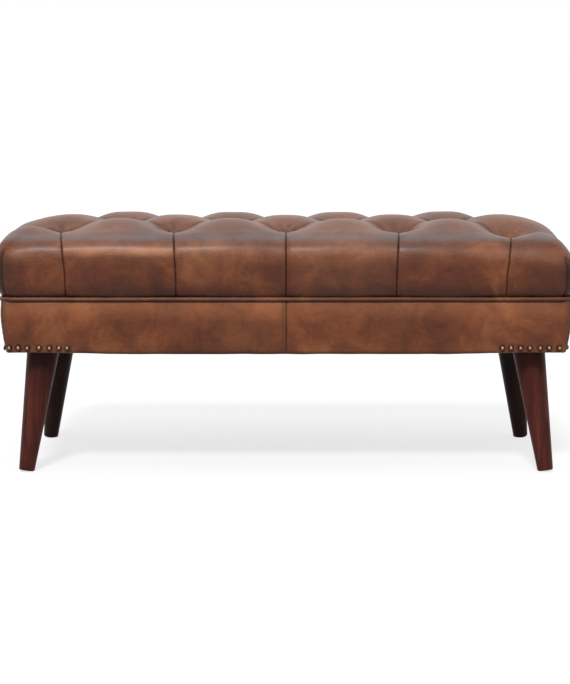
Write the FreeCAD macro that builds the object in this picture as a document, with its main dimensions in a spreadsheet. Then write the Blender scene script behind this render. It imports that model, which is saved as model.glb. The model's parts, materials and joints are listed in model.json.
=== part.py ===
import FreeCAD, Part
import os
import re
import Sketcher

# Upholstered bench: a tufted leather seat panel on a boxed, leather-banded rail frame
# with four splayed turned legs. Millimetres, X along the bench, Y to its back, Z up.
# The origin is on the floor under the middle of the bench.

# Sizes that can be set by themselves, in millimetres, degrees or a plain count
DRIVING = {
    # whole bench
    "bench_length": 1100,
    "bench_depth": 440,
    "bench_height": 490,
    "leg_height": 238,
    # materials and clearances
    "leather_thick": 1.4,
    "dust_cover_thick": 0.8,
    "wadding_thick": 10,
    "fit_gap": 0.2,
    "seam_gap": 0.3,
    # turned legs and their fixings
    "leg_inset": 38,
    "leg_splay": 33,
    "leg_top_radius": 31.5,
    "leg_foot_radius": 15,
    "foot_flat": 8,
    "foot_round": 1.5,
    "bolt_diameter": 8,
    "bolt_in_leg": 35,
    "bolt_above_leg": 27,
    "insert_diameter": 12,
    "insert_start": 4,
    "insert_length": 25,
    # rail frame
    "frame_setback": 17,
    "rail_thick": 22,
    "rail_height": 97,
    "dowel_diameter": 8,
    "dowel_length": 40,
    "dowel_in_rail": 14,
    "dowel_end_gap": 25,
    "block_side": 85,
    "block_chamfer": 45,
    "block_height": 86,
    # screws in the corner blocks and the deck brackets
    "block_screw_length": 53,
    "block_screw_bite": 17.5,
    "block_screw_inset": 10,
    "block_screw_low": 24,
    "block_screw_rise": 40,
    "screw_diameter": 4.5,
    "screw_head_diameter": 9,
    "screw_head_thick": 3.5,
    "counterbore_clearance": 1,
    "counterbore_reach": 60,
    "bracket_thick": 2,
    "bracket_width": 30,
    "bracket_drop": 32,
    "bracket_reach": 30,
    "bracket_screw_inset": 10,
    "bracket_screw_length": 11,
    "bracket_screw_diameter": 3.5,
    "bracket_head_diameter": 7,
    "bracket_head_thick": 1.5,
    # banding of the rails
    "band_setback": 5.5,
    "band_flare": 7.5,
    "hem_width": 20,
    "tack_strip_thick": 1.2,
    "tack_strip_width": 12,
    # dome-headed nails, as many on the long face as on the end face of each corner
    "nail_head_radius": 5.5,
    "nail_dome_height": 3,
    "nail_shank_radius": 0.8,
    "nail_length": 11,
    "nail_point": 2,
    "nail_count": 7,
    "nail_pitch": 18.2,
    "nail_corner_gap": 12.3,
    "nail_rise": 10,
    # piping between the band and the seat
    "bead_setback": 4.8,
    "bead_radius": 4,
    "bead_rise": 2.5,
    "bead_corner": 24,
    "cord_radius": 2.6,
    "flange_width": 24,
    # seat panel
    "deck_thick": 12,
    "seat_corner": 32,
    "seat_edge": 30,
    # tufts: long rows of five at the front and back, a row of four between them
    "tuft_columns": 5,
    "tuft_end_gap": 116,
    "tuft_side_gap": 112,
    "tuft_depth": 38,
    "tuft_floor_radius": 12,
    "button_diameter": 20,
    "button_thick": 5,
    "button_round": 2,
    "twine_diameter": 2,
    "twine_tail": 3,
    "tuft_hole_diameter": 6,
    "foam_hole_diameter": 14,
    "washer_diameter": 20,
    "washer_thick": 2,
    # dust cover and its staples
    "dust_cover_setback": 6,
    "staple_edge_gap": 8,
    "staple_crown": 10,
    "staple_wire": 0.7,
    "staple_leg": 8,
    "long_staple_count": 11,
    "short_staple_count": 4,
    "staple_corner_gap": 60,
}

# Sizes and places that follow from them, each written with the names above
DERIVED = {
    "half_length": "bench_length / 2",
    "half_depth": "bench_depth / 2",
    "dust_cover_bottom": "leg_height",
    "hem_bottom": "dust_cover_bottom + dust_cover_thick",
    "rail_bottom": "hem_bottom + leather_thick",
    "rail_top": "rail_bottom + rail_height",
    "return_bottom": "rail_top + leather_thick",
    "deck_bottom": "return_bottom + leather_thick",
    "deck_top": "deck_bottom + deck_thick",
    "bead_level": "rail_top + bead_rise",
    "band_top": "bead_level - bead_radius - seam_gap",
    "band_height": "band_top - hem_bottom",
    "band_angle": "atan(band_flare / band_height)",
    "seat_bottom": "bead_level + bead_radius + seam_gap",
    "tuft_floor": "bench_height - tuft_depth",
    "frame_half_length": "half_length - frame_setback",
    "frame_half_depth": "half_depth - frame_setback",
    "inner_half_length": "frame_half_length - rail_thick",
    "inner_half_depth": "frame_half_depth - rail_thick",
    "band_foot_length": "half_length - band_setback - band_flare",
    "band_foot_depth": "half_depth - band_setback - band_flare",
    "mitre_offset": "half_length - half_depth",
    "leg_top_x": "inner_half_length - leg_inset",
    "leg_top_y": "inner_half_depth - leg_inset",
    "leg_tilt": "atan(sqrt(2) * leg_splay / leg_height)",
    "leg_axis_length": "leg_height / cos(leg_tilt)",
    "leg_taper": "(leg_top_radius - leg_foot_radius) / leg_axis_length",
    "foot_start": "(leg_foot_radius - foot_flat) * tan(leg_tilt)",
    "lip_setback": "bead_setback + bead_radius + fit_gap",
    "lip_corner": "bead_corner - bead_radius - fit_gap",
    "tuft_pitch": "(bench_length - 2 * tuft_end_gap) / (tuft_columns - 1)",
    "tuft_row": "half_depth - tuft_side_gap",
    "cross_rail_x": "tuft_pitch * 3 / 4",
    "foam_inset": "leather_thick + wadding_thick",
    "nail_level": "hem_bottom + nail_rise",
    "nail_proud": "band_flare * nail_rise / band_height",
    "bracket_row": "(tuft_columns - 2) / 2 * tuft_pitch",
    "dust_half_length": "band_foot_length - dust_cover_setback",
    "dust_half_depth": "band_foot_depth - dust_cover_setback",
    "long_staple_row": "dust_half_length - staple_corner_gap",
    "short_staple_row": "dust_half_depth - staple_corner_gap",
}

SIDES_X = {"left": -1, "right": 1}
SIDES_Y = {"front": -1, "back": 1}
CORNERS = [(y_name + "_" + x_name, x_sign, y_sign)
           for y_name, y_sign in SIDES_Y.items()
           for x_name, x_sign in SIDES_X.items()]

PARTS_FOLDER = "parts"
LABEL_LIMIT = 60
X_AXIS = FreeCAD.Vector(1, 0, 0)
Y_AXIS = FreeCAD.Vector(0, 1, 0)
Z_AXIS = FreeCAD.Vector(0, 0, 1)

# A sketch's own origin point and its two axes, as constraints name them
ORIGIN = (-1, 1)
HORIZONTAL = -1
VERTICAL = -2
START = 1
END = 2
CENTRE = 3

doc = FreeCAD.newDocument("upholstered_bench")
sheet = doc.addObject("Spreadsheet::Sheet", "dims")
for row, (name, size) in enumerate(DRIVING.items(), start=1):
    sheet.set("A" + str(row), name.replace("_", " "))
    sheet.set("B" + str(row), str(size))
    sheet.setAlias("B" + str(row), name)
doc.recompute()

nodes = []


def spell(text):
    """The text with every named size written out as cells of the sheet."""
    def cell(match):
        word = match.group(0)
        if word in DRIVING:
            return "dims." + word
        if word in DERIVED:
            return "(" + spell(DERIVED[word]) + ")"
        return word
    return re.sub(r"[a-z]+(?:_[a-z]+)*", cell, str(text))


def value(text):
    """The number that a text of named sizes comes to."""
    return float(sheet.evalExpression(spell(text)))


def bind(item, **sizes):
    """Ties properties to the sheet; a double underscore stands for a dot in their name."""
    for name, text in sizes.items():
        item.setExpression(name.replace("__", "."), spell(text))


def place(item, x="0", y="0", z="0", axis=Z_AXIS, turn="0"):
    """Sets an item's place and its turn about an axis through that place."""
    item.Placement = FreeCAD.Placement(
        FreeCAD.Vector(value(x), value(y), value(z)), FreeCAD.Rotation(axis, value(turn)))
    bind(item, Placement__Base__x=x, Placement__Base__y=y, Placement__Base__z=z)
    if turn != "0":
        bind(item, Placement__Rotation__Angle=turn)


def node(item, label):
    """Makes an item one of the bench's pieces."""
    item.Label = label
    nodes.append(item)
    return item


def box(label, low, size):
    """A plain block from its low corner and its three sizes."""
    block = doc.addObject("Part::Box", label)
    bind(block, Length=size[0], Width=size[1], Height=size[2])
    place(block, *low)
    return block


def centred_box(label, half_x, half_y, bottom, top):
    """A block centred on the vertical axis, between two heights."""
    low = (f"-({half_x})", f"-({half_y})", bottom)
    return box(label, low, (f"2 * ({half_x})", f"2 * ({half_y})", f"({top}) - ({bottom})"))


def cylinder(label, radius, length, x, y, z, axis=Z_AXIS, turn="0"):
    """A round bar that starts at a place and runs along its turned Z axis."""
    bar = doc.addObject("Part::Cylinder", label)
    bind(bar, Radius=radius, Height=length)
    place(bar, x, y, z, axis, turn)
    return bar


def group(label, items):
    """Separate solids kept together as one object."""
    compound = doc.addObject("Part::Compound", label)
    compound.Links = items
    return compound


def cut(label, base, tools):
    """What is left of a base once each tool is taken out of it."""
    result = base
    for number, tool in enumerate(tools, start=1):
        step = doc.addObject("Part::Cut", f"{label}_cut_{number}")
        step.Base = result
        step.Tool = tool
        result = step
    return result


def common(label, first, second):
    """The space that two items share."""
    shared = doc.addObject("Part::Common", label)
    shared.Base = first
    shared.Tool = second
    return shared


def fuse(label, first, second):
    """Two items joined into one."""
    joined = doc.addObject("Part::Fuse", label)
    joined.Base = first
    joined.Tool = second
    return joined


def new_body(label):
    """An empty body that may hold several separate solids."""
    body = doc.addObject("PartDesign::Body", label)
    body.AllowCompound = True
    return body


def origin_part(body, role):
    """One of the body's own origin planes or axes."""
    return next(item for item in body.Origin.OriginFeatures if item.Role == role)


def new_sketch(body, plane="XY_Plane", level="0"):
    """A sketch on one of the body's origin planes, raised to a level."""
    sketch = body.newObject("Sketcher::SketchObject", body.Label + "_sketch")
    sketch.AttachmentSupport = [(origin_part(body, plane), "")]
    sketch.MapMode = "FlatFace"
    if level != "0":
        bind(sketch, AttachmentOffset__Base__z=level)
    return sketch


def pin(sketch, edge, end, x, y):
    """Holds one point of a sketch at a place given by named sizes."""
    for kind, text, axis in (("DistanceX", x, VERTICAL), ("DistanceY", y, HORIZONTAL)):
        distance = value(text)
        if distance == 0:
            sketch.addConstraint(Sketcher.Constraint("PointOnObject", edge, end, axis))
            continue
        number = sketch.addConstraint(Sketcher.Constraint(kind, *ORIGIN, edge, end, distance))
        sketch.setExpression(f"Constraints[{number}]", spell(text))


def polygon(sketch, points, dome_edge=None):
    """Draws a closed outline; the dome edge is an arc centred on the sketch's upright axis."""
    spots = [FreeCAD.Vector(value(x), value(y), 0) for x, y in points]
    count = len(spots)
    for edge, spot in enumerate(spots):
        following = spots[(edge + 1) % count]
        if edge == dome_edge:
            rise = following.y - spot.y
            radius = (spot.x ** 2 + rise ** 2) / (2 * rise)
            middle = FreeCAD.Vector(0, following.y - radius, 0)
            circle = Part.Circle(middle, Z_AXIS, radius)
            sketch.addGeometry(
                Part.ArcOfCircle(circle, circle.parameter(spot), circle.parameter(following)))
            sketch.addConstraint(Sketcher.Constraint("PointOnObject", edge, CENTRE, VERTICAL))
        else:
            sketch.addGeometry(Part.LineSegment(spot, following))
    for edge in range(count):
        sketch.addConstraint(
            Sketcher.Constraint("Coincident", edge, END, (edge + 1) % count, START))
    for edge, (x, y) in enumerate(points):
        pin(sketch, edge, START, x, y)


def rounded_rectangle(sketch, half_x, half_y, corner):
    """Draws a rectangle about the sketch's origin, with one radius at all its corners."""
    reach_x, reach_y, radius = value(half_x), value(half_y), value(corner)
    flat_x, flat_y = reach_x - radius, reach_y - radius
    sides = [((-flat_x, -reach_y), (flat_x, -reach_y)), ((reach_x, -flat_y), (reach_x, flat_y)),
             ((flat_x, reach_y), (-flat_x, reach_y)), ((-reach_x, flat_y), (-reach_x, -flat_y))]
    centres = [(flat_x, -flat_y), (flat_x, flat_y), (-flat_x, flat_y), (-flat_x, -flat_y)]
    for number, ((start, end), centre) in enumerate(zip(sides, centres)):
        sketch.addGeometry(
            Part.LineSegment(FreeCAD.Vector(*start, 0), FreeCAD.Vector(*end, 0)))
        circle = Part.Circle(FreeCAD.Vector(*centre, 0), Z_AXIS, radius)
        last = circle.parameter(FreeCAD.Vector(*sides[(number + 1) % len(sides)][0], 0))
        first = circle.parameter(FreeCAD.Vector(*end, 0))
        sketch.addGeometry(Part.ArcOfCircle(circle, first, last))
    edges = 2 * len(sides)
    for edge in range(edges):
        sketch.addConstraint(
            Sketcher.Constraint("Tangent", edge, END, (edge + 1) % edges, START))
    for edge, direction in ((0, "Horizontal"), (2, "Vertical"), (4, "Horizontal"), (6, "Vertical")):
        sketch.addConstraint(Sketcher.Constraint(direction, edge))
    for arc in (3, 5, 7):
        sketch.addConstraint(Sketcher.Constraint("Equal", 1, arc))
    limits = [("Radius", (1, radius), corner),
              ("DistanceY", (0, START, *ORIGIN, reach_y), half_y),
              ("DistanceX", (*ORIGIN, 2, START, reach_x), half_x),
              ("DistanceY", (*ORIGIN, 4, START, reach_y), half_y),
              ("DistanceX", (6, START, *ORIGIN, reach_x), half_x)]
    for kind, terms, text in limits:
        number = sketch.addConstraint(Sketcher.Constraint(kind, *terms))
        sketch.setExpression(f"Constraints[{number}]", spell(text))


def pad(body, sketch, length):
    """Raises a sketch into a solid."""
    feature = body.newObject("PartDesign::Pad", body.Label + "_pad")
    feature.Profile = sketch
    bind(feature, Length=length)
    body.Tip = feature
    return feature


def turned(label, outline, dome_edge=None):
    """A lathe-turned solid about its own Z axis, from (radius, height) points."""
    body = new_body(label)
    sketch = new_sketch(body, "XZ_Plane")
    polygon(sketch, outline, dome_edge)
    feature = body.newObject("PartDesign::Revolution", label + "_revolution")
    feature.Profile = sketch
    feature.ReferenceAxis = (sketch, ["V_Axis"])
    feature.Angle = 360
    body.Tip = feature
    return body


def repeat(body, feature, axis, count, pitch, back=False):
    """Repeats a body's feature in a straight row along one of its origin axes."""
    pattern = body.newObject("PartDesign::LinearPattern", body.Label + "_row")
    pattern.Originals = [feature]
    pattern.Direction = (origin_part(body, axis), [""])
    pattern.Reversed = back
    bind(pattern, Length=f"({count} - 1) * ({pitch})", Occurrences=count)
    body.Tip = pattern


def prism(label, points, bottom, height):
    """An upright solid with a straight-sided outline."""
    body = new_body(label)
    sketch = new_sketch(body, level=bottom)
    polygon(sketch, points)
    pad(body, sketch, height)
    return body


def rounded_plate(label, half_x, half_y, corner, bottom, height):
    """A flat plate with rounded corners."""
    body = new_body(label)
    sketch = new_sketch(body, level=bottom)
    rounded_rectangle(sketch, half_x, half_y, corner)
    pad(body, sketch, height)
    return body


def flared_block(label, half_x, half_y, bottom, height):
    """A rectangular block that widens upwards at the band's slope."""
    block = doc.addObject("Part::Wedge", label)
    growth = f"(({height}) * band_flare / band_height)"
    bind(block, Xmin=f"-({half_x})", Xmax=half_x, Zmin=f"-({half_y})", Zmax=half_y,
         X2min=f"-({half_x}) - {growth}", X2max=f"{half_x} + {growth}",
         Z2min=f"-({half_y}) - {growth}", Z2max=f"{half_y} + {growth}",
         Ymin="0", Ymax=height)
    place(block, z=bottom, axis=X_AXIS, turn="90")
    return block


def tuft_places():
    """The tufts' places: full rows at the front and back, a staggered row between."""
    columns = DRIVING["tuft_columns"]
    full = [f"{number - (columns - 1) / 2} * tuft_pitch" for number in range(columns)]
    staggered = [f"{number - (columns - 2) / 2} * tuft_pitch" for number in range(columns - 1)]
    return ([(x, "-tuft_row") for x in full] + [(x, "0") for x in staggered]
            + [(x, "tuft_row") for x in full])


def tuft_circles(sketch, radius):
    """Draws one circle at each tuft."""
    size = value(radius)
    for number, (x, y) in enumerate(tuft_places()):
        middle = FreeCAD.Vector(value(x), value(y), 0)
        sketch.addGeometry(Part.Circle(middle, Z_AXIS, size))
        pin(sketch, number, CENTRE, x, y)
        limit = sketch.addConstraint(Sketcher.Constraint("Radius", number, size))
        sketch.setExpression(f"Constraints[{limit}]", spell(radius))


def tuft_posts(label, diameter, bottom, top):
    """One upright round solid at each tuft."""
    body = new_body(label)
    sketch = new_sketch(body, level=bottom)
    tuft_circles(sketch, f"({diameter}) / 2")
    pad(body, sketch, f"({top}) - ({bottom})")
    return body


def edges_where(shape, test):
    """Names of a shape's edges that pass a test."""
    return [f"Edge{number}" for number, edge in enumerate(shape.Edges, start=1) if test(edge)]


def round_edges(body, feature, names, radius):
    """Rounds a feature's edges to one radius."""
    rounding = body.newObject("PartDesign::Fillet", body.Label + "_rounding")
    rounding.Base = (feature, names)
    bind(rounding, Radius=radius)
    body.Tip = rounding
    return rounding


def seat_form(label, inset, bottom, lip_bottom=None):
    """The tufted seat block, taken in all round by an inset; it may have a narrower lip below."""
    body = new_body(label)
    sketch = new_sketch(body, level=bottom)
    rounded_rectangle(sketch, f"half_length - ({inset})", f"half_depth - ({inset})",
                      f"seat_corner - ({inset})")
    top = f"bench_height - ({inset})"
    block = pad(body, sketch, f"({top}) - ({bottom})")
    doc.recompute()
    level = value(top)
    rim = edges_where(block.Shape, lambda edge: edge.BoundBox.ZMin > level - value("fit_gap"))
    round_edges(body, block, rim, f"seat_edge - ({inset})")
    pits = new_sketch(body, level=top)
    floor_growth = f"({inset}) * tan(22.5)"
    tuft_circles(pits, f"tuft_floor_radius + tuft_depth + {floor_growth}")
    pocket = body.newObject("PartDesign::Pocket", label + "_pits")
    pocket.Profile = pits
    pocket.TaperAngle = -45
    bind(pocket, Length="tuft_depth")
    body.Tip = pocket
    if lip_bottom:
        lip = new_sketch(body, level=lip_bottom)
        rounded_rectangle(lip, f"half_length - lip_setback - ({inset})",
                          f"half_depth - lip_setback - ({inset})", f"lip_corner - ({inset})")
        pad(body, lip, f"({bottom}) - ({lip_bottom}) + fit_gap")
    return body


# Legs, turned and splayed along the corner diagonals

def tilt_like_leg(item, x_sign, y_sign):
    """Sets an item's Z axis along a leg, from the middle of its foot upwards."""
    place(item, f"{x_sign} * (leg_top_x + leg_splay)", f"{y_sign} * (leg_top_y + leg_splay)",
          "0", FreeCAD.Vector(y_sign, -x_sign, 0), "leg_tilt")


def along_leg(label, radius, start, length, x_sign, y_sign):
    """A round bar on a leg's axis, between two distances from its foot."""
    bar = turned(label, [("0", start), (radius, start),
                         (radius, f"{start} + {length}"), ("0", f"{start} + {length}")])
    tilt_like_leg(bar, x_sign, y_sign)
    return bar


leg_room = centred_box("leg_room", "bench_length", "bench_depth", "0", "leg_height")
bolt_bars = []
insert_bars = []
for corner, x_sign, y_sign in CORNERS:
    bolt_bars.append(along_leg(f"bolt_{corner}", "bolt_diameter / 2",
                               "(leg_axis_length - bolt_in_leg)",
                               "(bolt_in_leg + bolt_above_leg)", x_sign, y_sign))
    insert_bars.append(along_leg(f"insert_bar_{corner}", "insert_diameter / 2",
                                 "(leg_axis_length + insert_start)", "insert_length",
                                 x_sign, y_sign))
hanger_bolts = node(group("hanger_bolts", bolt_bars), "leg_hanger_bolts")

for (corner, x_sign, y_sign), bolt in zip(CORNERS, bolt_bars):
    foot_edge = "leg_foot_radius + leg_taper * (foot_start + foot_round)"
    overrun = "leg_axis_length + leg_top_radius"
    turning = turned(f"turning_{corner}",
                     [("0", "foot_start"),
                      ("leg_foot_radius - foot_round", "foot_start"),
                      (foot_edge, "foot_start + foot_round"),
                      ("leg_foot_radius + leg_taper * (" + overrun + ")", overrun),
                      ("0", overrun)])
    tilt_like_leg(turning, x_sign, y_sign)
    trimmed = common(f"trimmed_leg_{corner}", turning, leg_room)
    node(cut(f"bored_leg_{corner}", trimmed, [bolt]), f"leg_{corner}")

inserts = [cut(f"insert_{corner}", bar, [bolt])
           for (corner, _, _), bar, bolt in zip(CORNERS, insert_bars, bolt_bars)]
node(group("inserts", inserts), "leg_inserts")


# Dowels that hold the end rails and the cross rails between the long rails

dowels = []
for y_name, y_sign in SIDES_Y.items():
    for x_name, x_sign in SIDES_X.items():
        for rail_name, rail_x in (("end", "frame_half_length - rail_thick / 2"),
                                  ("cross", "cross_rail_x")):
            for level_name, level in (("low", "rail_bottom + dowel_end_gap"),
                                      ("high", "rail_top - dowel_end_gap")):
                label = f"dowel_{y_name}_{x_name}_{rail_name}_{level_name}"
                start = f"{y_sign} * (inner_half_depth + dowel_in_rail)"
                dowels.append(cylinder(label, "dowel_diameter / 2", "dowel_length",
                                       f"{x_sign} * ({rail_x})", start, level,
                                       X_AXIS, f"{y_sign} * 90"))
rail_dowels = node(group("dowels", dowels), "rail_dowels")


# Screws: a shank along Z with its point down and its head above the origin

def screw(label, shank_radius, shank_length, head_radius, head_thick):
    """A flat-headed screw, seated at its own origin."""
    point = f"-({shank_length}) + ({shank_radius})"
    return turned(label, [("0", f"-({shank_length})"), (shank_radius, point), (shank_radius, "0"),
                          (head_radius, "0"), (head_radius, head_thick), ("0", head_thick)])


block_screws = []
counterbores = []
for corner, x_sign, y_sign in CORNERS:
    seat = "block_screw_length - block_screw_bite"
    reach = "block_side - block_screw_inset"
    ways = {
        "long": (f"{x_sign} * (inner_half_length - ({reach}))",
                 f"{y_sign} * (inner_half_depth - ({seat}))", X_AXIS, y_sign, "Y_Axis", y_sign < 0),
        "end": (f"{x_sign} * (inner_half_length - ({seat}))",
                f"{y_sign} * (inner_half_depth - ({reach}))", Y_AXIS, -x_sign, "X_Axis", x_sign < 0),
    }
    for way, (x, y, axis, direction, row_axis, backwards) in ways.items():
        label = f"block_screw_{corner}_{way}"
        fastener = screw(label, "screw_diameter / 2", "block_screw_length",
                         "screw_head_diameter / 2", "screw_head_thick")
        recess_radius = "screw_head_diameter / 2 + counterbore_clearance"
        recess = turned(f"counterbore_{corner}_{way}",
                        [("0", "0"), (recess_radius, "0"), (recess_radius, "counterbore_reach"),
                         ("0", "counterbore_reach")])
        for item in (fastener, recess):
            repeat(item, item.Tip, row_axis, "2", "block_screw_rise", backwards)
            place(item, x, y, "rail_bottom + block_screw_low", axis, f"{direction} * 90")
        block_screws.append(fastener)
        counterbores.append(recess)
node(group("block_screws", block_screws), "corner_block_screws")


# Corner blocks, glued and screwed inside the rail corners, with the leg inserts in them

for number, (corner, x_sign, y_sign) in enumerate(CORNERS):
    outline = [("0", "0"), ("block_side", "0"), ("block_side", "block_side - block_chamfer"),
               ("block_side - block_chamfer", "block_side"), ("0", "block_side")]
    points = [(f"{x_sign} * (inner_half_length - ({x}))", f"{y_sign} * (inner_half_depth - ({y}))")
              for x, y in outline]
    blank = prism(f"block_blank_{corner}", points, "hem_bottom", "block_height")
    insert_way = along_leg(f"insert_way_{corner}", "insert_diameter / 2",
                           "(leg_axis_length - insert_length)",
                           "(2 * insert_length + insert_start)", x_sign, y_sign)
    tools = [insert_way, bolt_bars[number]]
    for first in (2 * number, 2 * number + 1):
        tools += [block_screws[first], counterbores[first]]
    node(cut(f"block_{corner}", blank, tools), f"corner_block_{corner}")


# Steel angle brackets that hold the seat panel to the long rails, and their screws

brackets = []
rail_side_screws = []
deck_side_screws = []
for y_name, y_sign in SIDES_Y.items():
    body = new_body(f"bracket_row_{y_name}")
    sketch = new_sketch(body, "YZ_Plane")
    corner_y = "inner_half_depth"
    profile = [(corner_y, "deck_bottom"),
               (corner_y, "deck_bottom - bracket_drop"),
               (f"{corner_y} - bracket_thick", "deck_bottom - bracket_drop"),
               (f"{corner_y} - bracket_thick", "deck_bottom - bracket_thick"),
               (f"{corner_y} - bracket_reach", "deck_bottom - bracket_thick"),
               (f"{corner_y} - bracket_reach", "deck_bottom")]
    polygon(sketch, [(f"{y_sign} * ({y})", z) for y, z in profile])
    strip = pad(body, sketch, "bracket_width")
    repeat(body, strip, "X_Axis", "tuft_columns - 1", "tuft_pitch")
    place(body, "-bracket_row - bracket_width / 2")
    to_rail = screw(f"bracket_rail_screws_{y_name}", "bracket_screw_diameter / 2",
                    "bracket_screw_length", "bracket_head_diameter / 2", "bracket_head_thick")
    to_deck = screw(f"bracket_deck_screws_{y_name}", "bracket_screw_diameter / 2",
                    "bracket_screw_length", "bracket_head_diameter / 2", "bracket_head_thick")
    for fastener in (to_rail, to_deck):
        repeat(fastener, fastener.Tip, "X_Axis", "tuft_columns - 1", "tuft_pitch")
    place(to_rail, "-bracket_row", f"{y_sign} * (inner_half_depth - bracket_thick)",
          "deck_bottom - bracket_drop + bracket_screw_inset", X_AXIS, f"{y_sign} * 90")
    place(to_deck, "-bracket_row",
          f"{y_sign} * (inner_half_depth - bracket_reach + bracket_screw_inset)",
          "deck_bottom - bracket_thick", X_AXIS, "180")
    brackets.append(cut(f"brackets_{y_name}", body, [to_rail, to_deck]))
    rail_side_screws.append(to_rail)
    deck_side_screws.append(to_deck)
node(group("brackets", brackets), "deck_brackets")
node(group("bracket_fasteners", rail_side_screws + deck_side_screws), "deck_bracket_screws")


# Dome-headed nails along the foot of the band, one row each way from every corner

nail_outline = [("0", "-nail_length"), ("nail_shank_radius", "nail_point - nail_length"),
                ("nail_shank_radius", "0"), ("nail_head_radius", "0"), ("0", "nail_dome_height")]
nail_dome_edge = 3
hole_outline = [*nail_outline[:2], ("nail_shank_radius", "nail_dome_height"),
                ("0", "nail_dome_height")]


def nail_rows(name, outline, dome_edge=None):
    """For each corner, a row along the long face and a row along the end face."""
    rows = []
    for corner, x_sign, y_sign in CORNERS:
        long_row = turned(f"{name}_long_{corner}", outline, dome_edge)
        repeat(long_row, long_row.Tip, "X_Axis", "nail_count", "nail_pitch", x_sign > 0)
        place(long_row, f"{x_sign} * (band_foot_length - nail_corner_gap)",
              f"{y_sign} * (band_foot_depth + nail_proud)", "nail_level",
              X_AXIS, f"{-y_sign} * (90 deg + band_angle)")
        end_row = turned(f"{name}_end_{corner}", outline, dome_edge)
        repeat(end_row, end_row.Tip, "Y_Axis", "nail_count", "nail_pitch", y_sign > 0)
        place(end_row, f"{x_sign} * (band_foot_length + nail_proud)",
              f"{y_sign} * (band_foot_depth - nail_corner_gap)", "nail_level",
              Y_AXIS, f"{x_sign} * (90 deg + band_angle)")
        rows.append((long_row, end_row))
    return rows


for (corner, _, _), rows in zip(CORNERS, nail_rows("nails", nail_outline, nail_dome_edge)):
    node(group(f"nail_group_{corner}", list(rows)), f"nails_{corner}")
nail_holes = group("nail_holes", [row for rows in nail_rows("nail_holes", hole_outline)
                                  for row in rows])


# Staples that hold the dust cover up, each a crown with two legs

staples = []
half_crown = "staple_crown / 2"
inner_crown = "(staple_crown / 2 - staple_wire)"
staple_outline = [(f"-{half_crown}", "-staple_wire"), (half_crown, "-staple_wire"),
                  (half_crown, "staple_leg"), (inner_crown, "staple_leg"), (inner_crown, "0"),
                  (f"-{inner_crown}", "0"), (f"-{inner_crown}", "staple_leg"),
                  (f"-{half_crown}", "staple_leg")]


def staple_row(label, count, half_row):
    """A row of staples along X, begun at its own origin."""
    body = new_body(label)
    sketch = new_sketch(body, "XZ_Plane")
    polygon(sketch, staple_outline)
    wire = pad(body, sketch, "staple_wire")
    repeat(body, wire, "X_Axis", count, f"2 * ({half_row}) / ({count} - 1)")
    staples.append(body)
    return body


for y_name, y_sign in SIDES_Y.items():
    row = staple_row(f"staples_{y_name}", "long_staple_count", "long_staple_row")
    place(row, "-long_staple_row", f"{y_sign} * (dust_half_depth - staple_edge_gap)",
          "dust_cover_bottom")
for x_name, x_sign in SIDES_X.items():
    row = staple_row(f"staples_{x_name}", "short_staple_count", "short_staple_row")
    place(row, f"{x_sign} * (dust_half_length - staple_edge_gap)", "-short_staple_row",
          "dust_cover_bottom", Z_AXIS, "90")
dust_staples = node(group("staples", staples), "dust_cover_staples")


# Rails: two long ones at the front and back, two end rails and two cross rails between

wood_fasteners = [rail_dowels, group("all_block_screws", block_screws),
                  group("all_rail_screws", rail_side_screws), nail_holes, dust_staples]
long_size = ("2 * frame_half_length", "rail_thick", "rail_height")
short_size = ("rail_thick", "2 * inner_half_depth", "rail_height")
rails = {
    "rail_front": (("-frame_half_length", "-frame_half_depth", "rail_bottom"), long_size),
    "rail_back": (("-frame_half_length", "inner_half_depth", "rail_bottom"), long_size),
    "rail_left": (("-frame_half_length", "-inner_half_depth", "rail_bottom"), short_size),
    "rail_right": (("inner_half_length", "-inner_half_depth", "rail_bottom"), short_size),
}
for label, (low, size) in rails.items():
    node(cut(f"{label}_wood", box(f"{label}_blank", low, size), wood_fasteners), label)
for x_name, x_sign in SIDES_X.items():
    low = (f"{x_sign} * cross_rail_x - rail_thick / 2", "-inner_half_depth", "rail_bottom")
    size = ("rail_thick", "2 * inner_half_depth", "deck_bottom - rail_bottom")
    blank = box(f"cross_rail_blank_{x_name}", low, size)
    node(cut(f"cross_rail_wood_{x_name}", blank, [rail_dowels]), f"cross_rail_{x_name}")


# Band: padding and leather round the rails, mitred at the corners, seamed at mid length

frame_block = centred_box("frame_block", "frame_half_length", "frame_half_depth",
                          "rail_bottom", "rail_top")
strip_level = "band_top - tack_strip_width"
strips = []
for name, half_x, half_y in (
        ("long", "frame_half_length", "frame_half_depth + tack_strip_thick"),
        ("end", "frame_half_length + tack_strip_thick", "frame_half_depth")):
    slab = centred_box(f"strip_slab_{name}", half_x, half_y, strip_level, "band_top")
    strips.append(cut(f"strip_{name}", slab, [frame_block]))
tack_strips = node(group("strips", strips), "tack_strips")

slope = "band_flare / band_height"
leather_back = f"leather_thick - leather_thick * {slope}"
band_outside = flared_block("band_outside", "band_foot_length", "band_foot_depth",
                            "hem_bottom", "band_height")
band_inside = flared_block("band_inside", f"band_foot_length - ({leather_back})",
                           f"band_foot_depth - ({leather_back})",
                           "rail_bottom", "band_height - leather_thick")
hem_opening = centred_box("hem_opening", "band_foot_length - hem_width",
                          "band_foot_depth - hem_width", "dust_cover_bottom", "rail_bottom")
band_ring = cut("band_ring", band_outside, [band_inside, hem_opening, nail_holes, dust_staples])
padding_ring = cut("padding_ring", band_inside, [frame_block, tack_strips, nail_holes])

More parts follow.
